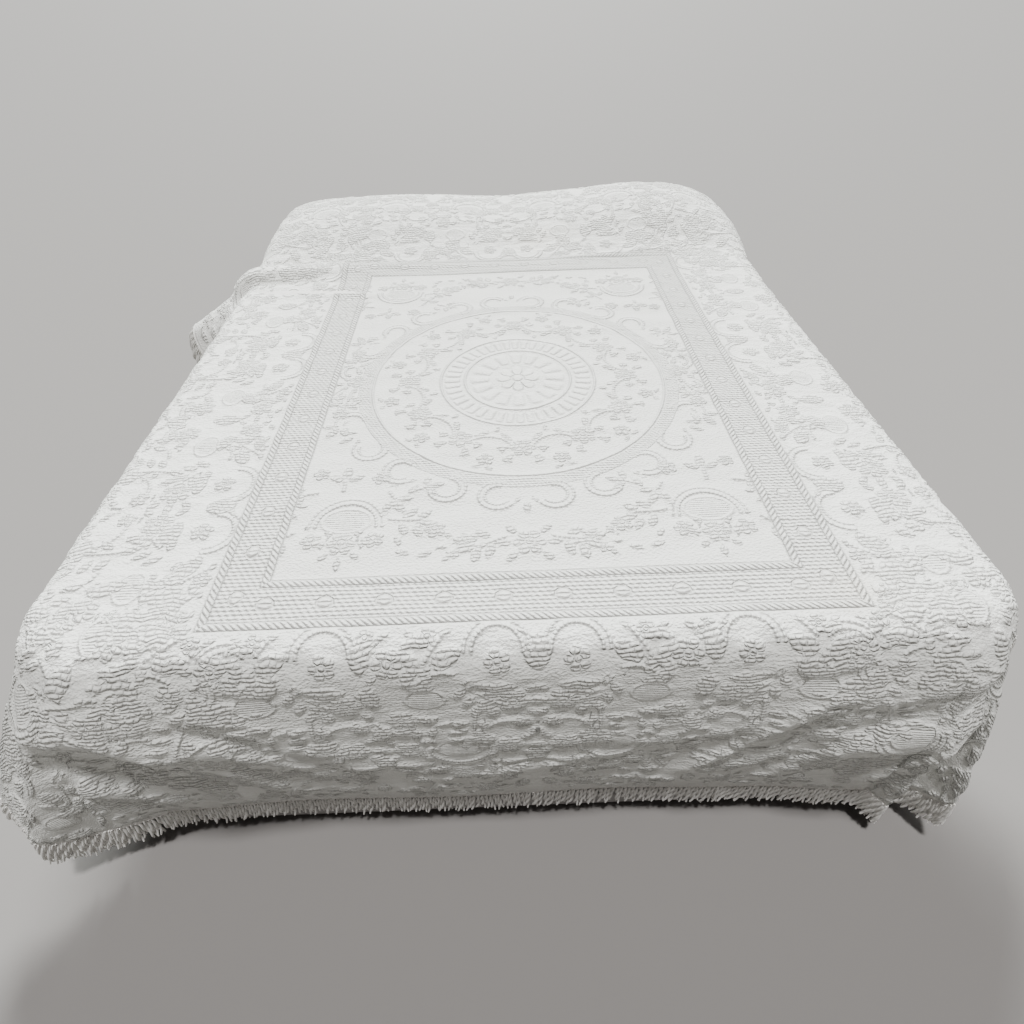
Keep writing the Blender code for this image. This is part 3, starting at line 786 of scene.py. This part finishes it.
# How dark the painted shade in the weave's hollows gets: in the frame, in the figures and in the ground,
# and the ground's level below which it starts
FRAME_PAINTED_SHADE = 0.50
FIGURE_PAINTED_SHADE = 0.5
GROUND_PAINTED_SHADE = 0.35
GROUND_SHADE_LEVEL = 0.62
# Faint yellowed places: u, v, half width, half length
AGED_PLACES = ((0.50, -0.66, 0.07, 0.05), (0.12, 0.80, 0.10, 0.06))
AGED_SHARE = 0.45
THREAD = 0.0021
THREAD_HEIGHT = 0.00022


class Signal:
    """A value in a shader. Sums and comparisons with other signals or numbers add math nodes."""

    def __init__(self, socket):
        self.socket = socket

    def into(self, entry):
        """Feeds a node's input."""
        self.socket.id_data.links.new(self.socket, entry)

    def __add__(self, other):
        return maths("ADD", self, other)

    def __radd__(self, other):
        return maths("ADD", other, self)

    def __sub__(self, other):
        return maths("SUBTRACT", self, other)

    def __rsub__(self, other):
        return maths("SUBTRACT", other, self)

    def __mul__(self, other):
        return maths("MULTIPLY", self, other)

    def __truediv__(self, other):
        return maths("DIVIDE", self, other)

    def __lt__(self, other):
        return maths("LESS_THAN", self, other)

    def __gt__(self, other):
        return maths("GREATER_THAN", self, other)

    def __abs__(self):
        return maths("ABSOLUTE", self)


def maths(operation, *values):
    """Adds a math node over signals and numbers, at least one of them a signal."""
    tree = next(value.socket.id_data for value in values if isinstance(value, Signal))
    node = tree.nodes.new("ShaderNodeMath")
    node.operation = operation
    for entry, value in zip(node.inputs, values):
        if isinstance(value, Signal):
            value.into(entry)
        else:
            entry.default_value = value
    return Signal(node.outputs[0])


def rising(value, low, high):
    """Eases from 0 to 1 as the value goes from low to high."""
    node = value.socket.id_data.nodes.new("ShaderNodeMapRange")
    node.interpolation_type = "SMOOTHSTEP"
    value.into(node.inputs["Value"])
    node.inputs["From Min"].default_value = low
    node.inputs["From Max"].default_value = high
    return Signal(node.outputs["Result"])


def bell(value, middle, width):
    off = (value - middle) / width
    return maths("EXPONENT", off * off * -1)


def ring_between(r, edges):
    """1 on a ring, easing at both of its edges."""
    rise, fall = edges
    return rising(r, *rise) * (1 - rising(r, *fall))


def rows_of_nubs(u, v, across, along):
    """Small rounded nubs in brick order."""
    row_place = v / along
    shift = maths("FLOOR", row_place) * 0.5
    slant = maths("FRACT", row_place) * NUB_SLANT
    column_place = u / across + (shift + slant)
    up = abs(maths("SINE", row_place * math.pi))
    wide = abs(maths("SINE", column_place * math.pi))
    across_gap = 1 - wide
    along_gap = 1 - up
    dash = along_gap * (across_gap * NUB_CROSS_GAP + NUB_GAP)
    notch = across_gap * NUB_NOTCH
    return maths("MAXIMUM", 1 - (dash + notch), 0)


def petalled(x, y, petals):
    """A flower of rounded petals round a raised eye, within a radius of 1."""
    r = maths("SQRT", x * x + y * y)
    turn = maths("ARCTAN2", y, x) * (petals * 0.5)
    lobe = abs(maths("COSINE", turn))
    edge = maths("SQRT", lobe) * PETAL_LOBE + PETAL_NOTCH
    inside = rising(edge - r, *PETAL_EDGE)
    split = rising(lobe, *PETAL_SPLIT) * PETAL_SPLIT_DEPTH
    split = split + (1 - PETAL_SPLIT_DEPTH)
    ring = inside * split * rising(r, *PETAL_ROOT)
    eye = 1 - rising(r, *EYE_EDGE)
    return maths("MAXIMUM", ring, eye)


def attribute_parts(tree, name):
    """The three numbers that a point attribute holds."""
    source = tree.nodes.new("ShaderNodeAttribute")
    source.attribute_name = name
    parts = tree.nodes.new("ShaderNodeSeparateXYZ")
    tree.links.new(source.outputs["Vector"], parts.inputs[0])
    return [Signal(part) for part in parts.outputs]


def flat_place(tree):
    """The flat measure of the cloth: u across and v along, in metres, and both as one vector."""
    source = tree.nodes.new("ShaderNodeUVMap")
    source.uv_map = "flat_cloth"
    parts = tree.nodes.new("ShaderNodeSeparateXYZ")
    tree.links.new(source.outputs["UV"], parts.inputs[0])
    return Signal(parts.outputs[0]), Signal(parts.outputs[1]), source.outputs["UV"]


def noise(tree, vector, scale, detail, stretch=(1, 1, 1), dimensions="2D"):
    mapping = tree.nodes.new("ShaderNodeMapping")
    mapping.inputs["Scale"].default_value = stretch
    tree.links.new(vector, mapping.inputs["Vector"])
    texture = tree.nodes.new("ShaderNodeTexNoise")
    texture.noise_dimensions = dimensions
    texture.inputs["Scale"].default_value = scale
    texture.inputs["Detail"].default_value = detail
    tree.links.new(mapping.outputs["Vector"], texture.inputs["Vector"])
    return Signal(texture.outputs["Fac"])


def frame_relief(u, v):
    """The frame: nubs with ovals between two ropes. Gives its height, the distance from its outer edge,
    and where its hollows and rope grooves take painted shade."""
    off_side = abs(u) - FRAME_HALF_WIDTH
    off_end = abs(v) - FRAME_HALF_LENGTH
    off = maths("MAXIMUM", off_side, off_end)
    at_side = off_side > off_end
    along = at_side * v + (1 - at_side) * u
    band = (off < 0) * (off > -BAND)
    nubs = rows_of_nubs(u, v, *FRAME_NUBS)
    cell = (maths("FRACT", along / OVAL_PITCH) - 0.5) * OVAL_PITCH
    oval_x = cell / OVAL_HALF_ALONG
    oval_y = (off + BAND / 2) / OVAL_HALF_ACROSS
    oval = maths("SQRT", oval_x * oval_x + oval_y * oval_y)
    over_end = (1 - at_side) * (off + BAND / 2)
    seam = bell(at_side * cell + over_end, 0, OVAL_SEAM)
    eye = (1 - rising(oval, *OVAL_EYE)) * (1 - seam * 0.8)
    inner = maths("MAXIMUM", nubs * rising(oval, *OVAL_GROOVE), eye)
    rope_middle = abs(off + BAND / 2) - (BAND / 2 - ROPE_WIDTH / 2)
    rope_off = abs(rope_middle) / (ROPE_WIDTH / 2)
    on_rope = rope_off < 1
    profile = maths("SQRT", maths("MAXIMUM", 1 - rope_off * rope_off, 0))
    twist = abs(maths("SINE", (along - off) / ROPE_TWIST * math.pi))
    rope = profile * (twist * 0.9 + 0.1)
    mixed = rope * on_rope + inner * (1 - on_rope)
    height = mixed * band
    groove = bell(rope_off, *ROPE_EDGE)
    # Painted shade: darker colour in the low parts of the band and along the rope grooves
    painted_shade = band * (1 - rising(mixed, 0.10, 0.85))
    return height - groove * 0.35, off, maths("MAXIMUM", painted_shade, groove)


def medallion_relief(u, v):
    """The rings in the middle: a rosette, a ring of bars, thin ropes and a nubby ring."""
    x = u - MEDALLION_MIDDLE[0]
    y = v - MEDALLION_MIDDLE[1]
    r = maths("SQRT", x * x + y * y)
    turn = maths("ARCTAN2", y, x)
    inner = petalled(x / ROSETTE_RADIUS, y / ROSETTE_RADIUS, ROSETTE_PETALS)
    spokes = abs(maths("COSINE", turn * ROSETTE_PETALS))
    petals = rising(spokes, 0.1, 1.0) * ring_between(r, PETAL_RING)
    bars = abs(maths("COSINE", turn * BARS))
    bar_ring = rising(bars, 0.1, 1.1) * ring_between(r, BAR_RING)
    nubs = rows_of_nubs(u, v, *RING_NUBS)
    nub_ring = nubs * ring_between(r, NUB_RING)
    outer = maths("MAXIMUM", bar_ring, nub_ring * 0.7)
    height = maths("MAXIMUM", maths("MAXIMUM", inner, petals), outer)
    rope_off = abs(r - THIN_ROPES[0])
    for radius in THIN_ROPES[1:]:
        rope_off = maths("MINIMUM", rope_off, abs(r - radius))
    return maths("MAXIMUM", height, bell(rope_off, 0, THIN_ROPE) * 0.9)


def figures_relief(tree, v, pucker):
    """Blooms, leaves, strokes and patches, from the distances on the points, and the painted shade in the
    gaps between their puckers and ribs.
    """
    bloom_x, bloom_y, petals = attribute_parts(tree, "bloom")
    off, along, lines = attribute_parts(tree, "stroke")
    leaf_off, patch_off, share = attribute_parts(tree, "figure")
    flower = petalled(bloom_x, bloom_y, petals) * rising(share, 0.0, 0.5)
    leaf_height = 1 - rising(leaf_off, *LEAF_EDGE)
    covered = maths("MAXIMUM", flower, leaf_height)
    padded = covered * (pucker * 0.80 + 0.20)
    single = bell(off, 0, STEM_HALF)
    double = bell(abs(off), RIBBON_APART, RIBBON_HALF)
    two = lines < 0
    line = double * two + single * (1 - two)
    beading = maths("SINE", along * (2 * math.pi / BEAD_PITCH))
    beading = beading * 0.22 + 0.78
    shown = rising(abs(lines), 0.3, 0.9)
    line = line * shown * beading
    ribs = abs(maths("SINE", v * (math.pi / RIB_PITCH)))
    inside = 1 - rising(patch_off, *PATCH_EDGE)
    ribbed = ribs * inside * 0.32
    ribbed = maths("MAXIMUM", ribbed, bell(patch_off, *PATCH_RIM) * 0.7)
    # Painted shade: darker colour in the gaps between puckers and between a patch's ribs
    gaps = covered * (1 - rising(pucker, 0.05, 0.60))
    gaps = maths("MAXIMUM", gaps, inside * (1 - ribs) * 0.5)
    return maths("MAXIMUM", maths("MAXIMUM", padded, line), ribbed), gaps


def fine_weave_group():
    """Threads crossing both ways, for every woven piece: their height, and a tone that is painted shade
    between the threads and uneven slub.
    """
    tree = bpy.data.node_groups.new("fine_weave", "ShaderNodeTree")
    tree.interface.new_socket("Place", in_out="INPUT", socket_type="NodeSocketVector")
    pitch = tree.interface.new_socket("Thread", in_out="INPUT", socket_type="NodeSocketFloat")
    pitch.default_value = 0.0016
    tree.interface.new_socket("Height", in_out="OUTPUT", socket_type="NodeSocketFloat")
    tree.interface.new_socket("Tone", in_out="OUTPUT", socket_type="NodeSocketFloat")
    entry = tree.nodes.new("NodeGroupInput")
    result = tree.nodes.new("NodeGroupOutput")
    parts = tree.nodes.new("ShaderNodeSeparateXYZ")
    tree.links.new(entry.outputs["Place"], parts.inputs[0])
    slub = noise(tree, entry.outputs["Place"], 90, 0)
    waves = []
    for axis in (0, 1, 2):
        place = Signal(parts.outputs[axis]) / Signal(entry.outputs["Thread"])
        place = place + slub * 1.5
        waves.append(abs(maths("SINE", place * math.pi)))
    threads = (waves[0] + waves[1] + waves[2]) / 3
    (threads * THREAD_HEIGHT).into(result.inputs["Height"])
    # Tone: painted shade, darker between the threads, and the slub's uneven tone
    (threads * 0.10 + (slub * 0.08 + 0.86)).into(result.inputs["Tone"])
    return tree


def blend_colours(share, first, second):
    """Mixes two colours, each a signal or three numbers."""
    node = share.socket.id_data.nodes.new("ShaderNodeMix")
    node.data_type = "RGBA"
    for entry, value in ((node.inputs[0], share), (node.inputs[6], first), (node.inputs[7], second)):
        if isinstance(value, Signal):
            value.into(entry)
        else:
            entry.default_value = (*value, 1)
    return Signal(node.outputs[2])


def matt_material(name, roughness, specular, sheen):
    """A new matt material, its node tree and its shader."""
    material = bpy.data.materials.new(name)
    material.use_nodes = True
    shader = material.node_tree.nodes["Principled BSDF"]
    shader.inputs["Roughness"].default_value = roughness
    shader.inputs["Specular IOR Level"].default_value = specular
    shader.inputs["Sheen Weight"].default_value = sheen
    return material, material.node_tree, shader


def weave_at(tree, place, thread):
    """The fine weave's height and tone at a place; the tone is painted shade between the threads, with
    uneven slub.
    """
    weave = tree.nodes.new("ShaderNodeGroup")
    weave.node_tree = fine_weave
    tree.links.new(place, weave.inputs["Place"])
    weave.inputs["Thread"].default_value = thread
    return Signal(weave.outputs["Height"]), Signal(weave.outputs["Tone"])


def surface(shader, height, strength, colour):
    """Gives a shader its relief and its colour."""
    bump = height.socket.id_data.nodes.new("ShaderNodeBump")
    bump.inputs["Strength"].default_value = strength
    bump.inputs["Distance"].default_value = 1.0
    height.into(bump.inputs["Height"])
    Signal(bump.outputs["Normal"]).into(shader.inputs["Normal"])
    colour.into(shader.inputs["Base Color"])


def puckering(u, v, drift):
    """The uneven puffs that part every padded figure: rows along v, each shifted against the last."""
    across, along = PUCKERS
    row_place = (v + drift) / along
    shift = maths("FLOOR", row_place) * PUCKER_SHIFT
    column_place = (u + drift) / across + shift
    up = abs(maths("SINE", row_place * math.pi))
    wide = abs(maths("SINE", column_place * math.pi))
    return up * (maths("SQRT", wide) * 0.9 + 0.1)


def cotton_material():
    material, tree, shader = matt_material("white_padded_weave", 0.92, 0.25, 0.15)
    shader.inputs["Sheen Roughness"].default_value = 0.6
    u, v, flat = flat_place(tree)
    drift = (noise(tree, flat, 26, 1) - 0.5) * PUCKER_DRIFT
    framing, off, frame_painted_shade = frame_relief(u, v)
    padded, gaps = figures_relief(tree, v, puckering(u, v, drift))
    figures = maths("MAXIMUM", padded, medallion_relief(u, v))
    inside = 1 - rising(off, -BAND - .004, -BAND)
    clear = maths("MAXIMUM", rising(off, 0.000, 0.004), inside)
    relief = figures * clear + framing
    field = ring_between(off, (GATHER_START, GATHER_END))
    gathered = field * (1 - GATHER_PLAIN) + GATHER_PLAIN
    ground = noise(tree, flat, 1, 2, GATHER_SCALE) * gathered
    threads, tone = weave_at(tree, flat, THREAD)
    pebbles = noise(tree, flat, 1, 1, PEBBLE_SCALE) * PEBBLE_HEIGHT
    height = relief * FIGURE_HEIGHT + ground * GATHER_HEIGHT
    height = height + pebbles + threads
    # Painted shade: the cotton's colour darkens in the frame's hollows, in the figures' gaps and where the
    # gathered ground is low
    figure_gap_shade = gaps * clear * FIGURE_PAINTED_SHADE
    painted_shade = maths("MAXIMUM", frame_painted_shade * FRAME_PAINTED_SHADE, figure_gap_shade)
    ground_shade = (GROUND_SHADE_LEVEL - ground) * GROUND_PAINTED_SHADE
    painted_shade = maths("MAXIMUM", painted_shade, ground_shade)
    body = blend_colours(painted_shade, COTTON, COTTON_PAINTED_SHADE)
    aged = 0
    for place_u, place_v, half_width, half_length in AGED_PLACES:
        aged = aged + bell(u, place_u, half_width) * bell(v, place_v, half_length)
    aged = aged * (noise(tree, flat, 12, 2) * AGED_SHARE)
    toned = blend_colours(aged, body, COTTON_AGED)
    # Multiplies in the fine weave's tone: painted shade between the threads, with uneven slub tone
    shaded = tree.nodes.new("ShaderNodeMix")
    shaded.data_type = "RGBA"
    shaded.blend_type = "MULTIPLY"
    shaded.inputs[0].default_value = 0.5
    toned.into(shaded.inputs[6])
    tone.into(shaded.inputs[7])
    surface(shader, height, 1.0, Signal(shaded.outputs[2]))
    return material


fine_weave = fine_weave_group()
bedspread.data.materials.clear()
bedspread.data.materials.append(cotton_material())
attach(bedspread, "root")
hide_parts("spread")


# The corded fringe
# A narrow woven heading sewn along both sides and the foot, with soft two-ply cords knotted into it.
# The cords hang a little unevenly and cling together in places.
CORD_PITCH = 0.0082
CORD_LENGTH = 0.076
PLY_RADIUS = 0.0025
PLY_OFFSET = 0.0021
CORD_STEPS = 7
PLY_TURNS = 1.1
HEADING_DEPTH = 0.006
HEADING_END = 0.0045
HEADING_HALF = 0.0018
# Steps into the cloth by which the hem's place, its way down and its facing are read
HEM_INSIDE = 1e-4
WAY_STEP = 0.012
FACING_STEP = 0.004
# How uneven the cords are: their length, how they cling and lean sideways, how they swing out
CORD_UNEVEN = 0.10
CORD_CLING = 0.16
CORD_SWAY = 0.10
CORD_SWING = 0.10
CORD_COLOUR = (0.79, 0.785, 0.75)
# The painted shade colour for the low places between the cord's strands, on the next line
CORD_PAINTED_SHADE = (0.66, 0.65, 0.62)
CORD_THREAD = 0.0015
CORD_STRANDS = 260
STRAND_HEIGHT = 0.0006


def hem_line(pitch):
    """Flat points down the left hem, round the foot and up the right, with the way back into the cloth."""
    half_width, half_length = CLOTH_WIDTH / 2, CLOTH_LENGTH / 2
    straight = CLOTH_LENGTH - HEM_CORNER
    quarter = HEM_CORNER * math.pi / 2
    foot = CLOTH_WIDTH - 2 * HEM_CORNER
    total = 2 * straight + 2 * quarter + foot
    at = np.linspace(0, total, round(total / pitch) + 1)
    u, v, inward_u, inward_v = (np.zeros_like(at) for _ in range(4))
    part = at < straight
    u[part], v[part], inward_u[part] = -half_width, half_length - at[part], 1
    part = (at >= straight) & (at < straight + quarter)
    angle = (at[part] - straight) / HEM_CORNER
    u[part] = HEM_CORNER - half_width - HEM_CORNER * np.cos(angle)
    v[part] = HEM_CORNER - half_length - HEM_CORNER * np.sin(angle)
    inward_u[part], inward_v[part] = np.cos(angle), np.sin(angle)
    part = (at >= straight + quarter) & (at < straight + quarter + foot)
    u[part] = at[part] - straight - quarter + HEM_CORNER - half_width
    v[part], inward_v[part] = -half_length, 1
    part = (at >= straight + quarter + foot) & (at < total - straight)
    angle = (at[part] - straight - quarter - foot) / HEM_CORNER
    u[part] = half_width - HEM_CORNER + HEM_CORNER * np.sin(angle)
    v[part] = HEM_CORNER - half_length - HEM_CORNER * np.cos(angle)
    inward_u[part], inward_v[part] = -np.sin(angle), np.cos(angle)
    part = at >= total - straight
    u[part], inward_u[part] = half_width, -1
    v[part] = at[part] - (total - straight) - straight + half_length
    return u, v, inward_u, inward_v


def hem_stations(pitch):
    """Places along the hem, the way down the cloth there, and the way it faces."""
    u, v, inward_u, inward_v = hem_line(pitch)
    u, v = u + inward_u * HEM_INSIDE, v + inward_v * HEM_INSIDE
    edge = drape(u, v)
    above = drape(u + inward_u * WAY_STEP, v + inward_v * WAY_STEP)
    way = edge - above
    way /= np.linalg.norm(way, axis=1, keepdims=True)
    out = facing(u + inward_u * FACING_STEP, v + inward_v * FACING_STEP)
    return edge - out * HEM_THICKNESS / 2, way, out


def heading():
    """The heading: a flat strip round the hem, closed round its own section."""
    edge, way, out = hem_stations(CORD_PITCH / 2)
    section = ((-1, -HEADING_DEPTH), (.2, -HEADING_DEPTH), (.5, 0), (.7, HEADING_END), (-.7, HEADING_END),
               (-1, 0), (-1, -HEADING_DEPTH))
    rings = np.stack([edge + out * side * HEADING_HALF + way * depth for side, depth in section])
    piece, row, column = grid_piece("fringe_heading", *rings.shape[:2])
    move_points(piece, rings[row, column])
    bpy.ops.object.mode_set(mode="EDIT")
    bpy.ops.mesh.select_all(action="SELECT")
    bpy.ops.mesh.remove_doubles(threshold=0.0001)
    bpy.ops.mesh.select_all(action="DESELECT")
    bpy.ops.mesh.select_non_manifold(extend=False)
    bpy.ops.mesh.fill()
    bpy.ops.mesh.select_all(action="SELECT")
    bpy.ops.mesh.normals_make_consistent(inside=False)
    bpy.ops.object.mode_set(mode="OBJECT")
    return piece


def cord_paths():
    """The middle line of each cord: it leaves along the cloth, then hangs, with its own sway."""
    edge, way, out = hem_stations(CORD_PITCH)
    chance = random.Random(11)
    count = len(edge)
    cling = np.array([chance.gauss(0, 1) for _ in range(count)])
    cling = np.convolve(cling, np.ones(5) / 5, "same")
    paths = []
    down = np.array((0.0, 0.0, -1.0))
    for i in range(count):
        beside = edge[min(i + 1, count - 1)] - edge[max(i - 1, 0)]
        beside /= np.linalg.norm(beside)
        length = CORD_LENGTH * (1 + CORD_UNEVEN * chance.uniform(-1, 1))
        sway = CORD_CLING * cling[i] + CORD_SWAY * chance.uniform(-1, 1)
        swing = CORD_SWING * chance.uniform(-1, 1)
        at = edge[i] + way[i] * HEADING_END * .4
        points = [at]
        step = length / CORD_STEPS
        for s in range(CORD_STEPS):
            share = s / (CORD_STEPS - 1)
            go = way[i] * (1 - share) * 1.1 + down * (.35 + 1.4 * share)
            go = go + beside * sway * (.4 + share) + out[i] * swing * share
            go /= np.linalg.norm(go)
            at = at + go * step
            points.append(at)
        paths.append(np.array(points))
    return paths, out


def cords():
    """Two plies twisted round each cord's line, loosening at the tip, as bevelled lines made a mesh."""
    paths, out = cord_paths()
    curve = bpy.data.curves.new("fringe_cords", "CURVE")
    curve.dimensions = "3D"
    curve.bevel_depth = PLY_RADIUS
    curve.bevel_resolution = 1
    curve.use_fill_caps = True
    share = np.linspace(0, 1, CORD_STEPS + 1)
    thick = (.55 + .62 * np.sin(math.pi * share ** .55 * .75)) * (1 - .30 * share ** 6)
    away = PLY_OFFSET * (1 + share ** 4)
    for number, path in enumerate(paths):
        along = np.gradient(path, axis=0)
        along /= np.linalg.norm(along, axis=1, keepdims=True)
        first = out[number] - along * (along @ out[number])[:, None]
        first /= np.linalg.norm(first, axis=1, keepdims=True)
        second = np.cross(along, first)
        for ply in (0, 1):
            turn = 2 * math.pi * PLY_TURNS * share + math.pi * ply + number * 1.3
            middle = path + first * (away * np.cos(turn))[:, None]
            middle = middle + second * (away * np.sin(turn))[:, None]
            line = curve.splines.new("POLY")
            line.points.add(CORD_STEPS)
            line.points.foreach_set("co", np.column_stack([middle, np.ones(len(middle))]).ravel())
            line.points.foreach_set("radius", thick)
    piece = bpy.data.objects.new("fringe_cords", curve)
    bpy.context.scene.collection.objects.link(piece)
    bpy.ops.object.select_all(action="DESELECT")
    piece.select_set(True)
    bpy.context.view_layer.objects.active = piece
    bpy.ops.object.convert(target="MESH")
    piece = bpy.context.object
    piece.data.shade_smooth()
    return piece


def cord_material():
    """Soft off-white cotton cord, its fibres lying along the twist."""
    material, tree, shader = matt_material("cotton_cord", 0.93, 0.2, 0.2)
    place = tree.nodes.new("ShaderNodeTexCoord").outputs["Object"]
    threads, _ = weave_at(tree, place, CORD_THREAD)
    strands = noise(tree, place, CORD_STRANDS, 2, (1, 1, .25), "3D")
    # Painted shade: the cord darkens where the strands' relief is low
    colour = blend_colours(rising(strands, .3, .7), CORD_PAINTED_SHADE, CORD_COLOUR)
    surface(shader, threads + strands * STRAND_HEIGHT, 0.9, colour)
    return material


cord_finish = cord_material()
fringe_pieces = [heading(), cords()]
for piece in fringe_pieces:
    piece.data.materials.clear()
    piece.data.materials.append(cord_finish)
    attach(piece, "root")
    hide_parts("fringe")


# The bed underneath
# A sprung mattress in plain ticking, an upholstered base and two linen pillows, all plain pieces that
# carry the cloth. Each keeps its solid and takes a woven finish.
PLAIN_CREASE_SCALE = 7
PLAIN_CREASE_HEIGHT = 0.004
# For each node: its material's name, light and dark colour (the dark one is painted shade between the
# threads, also varied by uneven slub), thread and roughness
BED_FINISHES = {
    "mattress": ("plain_ticking", (.74, .73, .70), (.62, .61, .585), .0024, .85),
    "bed_base": ("plain_base_cover", (.42, .41, .40), (.33, .32, .31), .0030, .88),
    "pillow_left": ("plain_linen_left", (.82, .82, .80), (.72, .72, .70), .0018, .85),
    "pillow_right": ("plain_linen_right", (.82, .82, .80), (.72, .72, .70), .0018, .85),
}


def plain_cloth(name, light, dark, thread, roughness):
    material, tree, shader = matt_material(name, roughness, 0.25, 0.1)
    place = tree.nodes.new("ShaderNodeTexCoord").outputs["Object"]
    threads, tone = weave_at(tree, place, thread)
    rumples = noise(tree, place, PLAIN_CREASE_SCALE, 3, dimensions="3D")
    # Painted shade: the dark colour shows between the threads, and uneven slub also varies it
    colour = blend_colours(rising(tone, .88, 1.02), dark, light)
    surface(shader, threads + rumples * PLAIN_CREASE_HEIGHT, 0.8, colour)
    return material


for node, finish in BED_FINISHES.items():
    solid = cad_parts[node]
    solid.data.materials.clear()
    solid.data.materials.append(plain_cloth(*finish))


# The floor and the light
# A plain pale floor, a broad soft light from above the head of the bed, a smaller one from almost straight
# above that grazes the drops, and a faint even surrounding. The drop at the foot falls into soft shade.
FLOOR_SIZE = 120.0
FLOOR_COLOUR = (0.17, 0.163, 0.157)
SURROUND = (0.96, 0.88, 0.84)
SURROUND_STRENGTH = 0.10
HEAD_LIGHT = (0.97, 1.0, 0.98)
HEAD_STRENGTH = 10.4
HEAD_SOFTNESS = math.radians(22)
HEAD_TILT = math.radians(-50)
TOP_LIGHT = (1.0, 0.985, 0.975)
TOP_STRENGTH = 4.8
TOP_SOFTNESS = math.radians(7)
TOP_TILT = math.radians(6)

bpy.ops.object.select_all(action="DESELECT")
bpy.ops.mesh.primitive_plane_add(size=FLOOR_SIZE)
floor = bpy.context.object
floor.name = "floor"
floor_finish = bpy.data.materials.new("pale_floor")
floor_finish.use_nodes = True
floor_shader = floor_finish.node_tree.nodes["Principled BSDF"]
floor_shader.inputs["Base Color"].default_value = (*FLOOR_COLOUR, 1)
floor_shader.inputs["Roughness"].default_value = 0.9
floor.data.materials.append(floor_finish)

surround = bpy.data.worlds.new("surround")
surround.use_nodes = True
surround.node_tree.nodes["Background"].inputs["Color"].default_value = (*SURROUND, 1)
surround.node_tree.nodes["Background"].inputs["Strength"].default_value = SURROUND_STRENGTH
bpy.context.scene.world = surround

for name, colour, strength, softness, tilt in (
        ("head_light", HEAD_LIGHT, HEAD_STRENGTH, HEAD_SOFTNESS, HEAD_TILT),
        ("top_light", TOP_LIGHT, TOP_STRENGTH, TOP_SOFTNESS, TOP_TILT)):
    lamp = bpy.data.lights.new(name, "SUN")
    lamp.energy = strength
    lamp.color = colour
    lamp.angle = softness
    light = bpy.data.objects.new(name, lamp)
    bpy.context.scene.collection.objects.link(light)
    light.rotation_euler = (tilt, 0, 0)
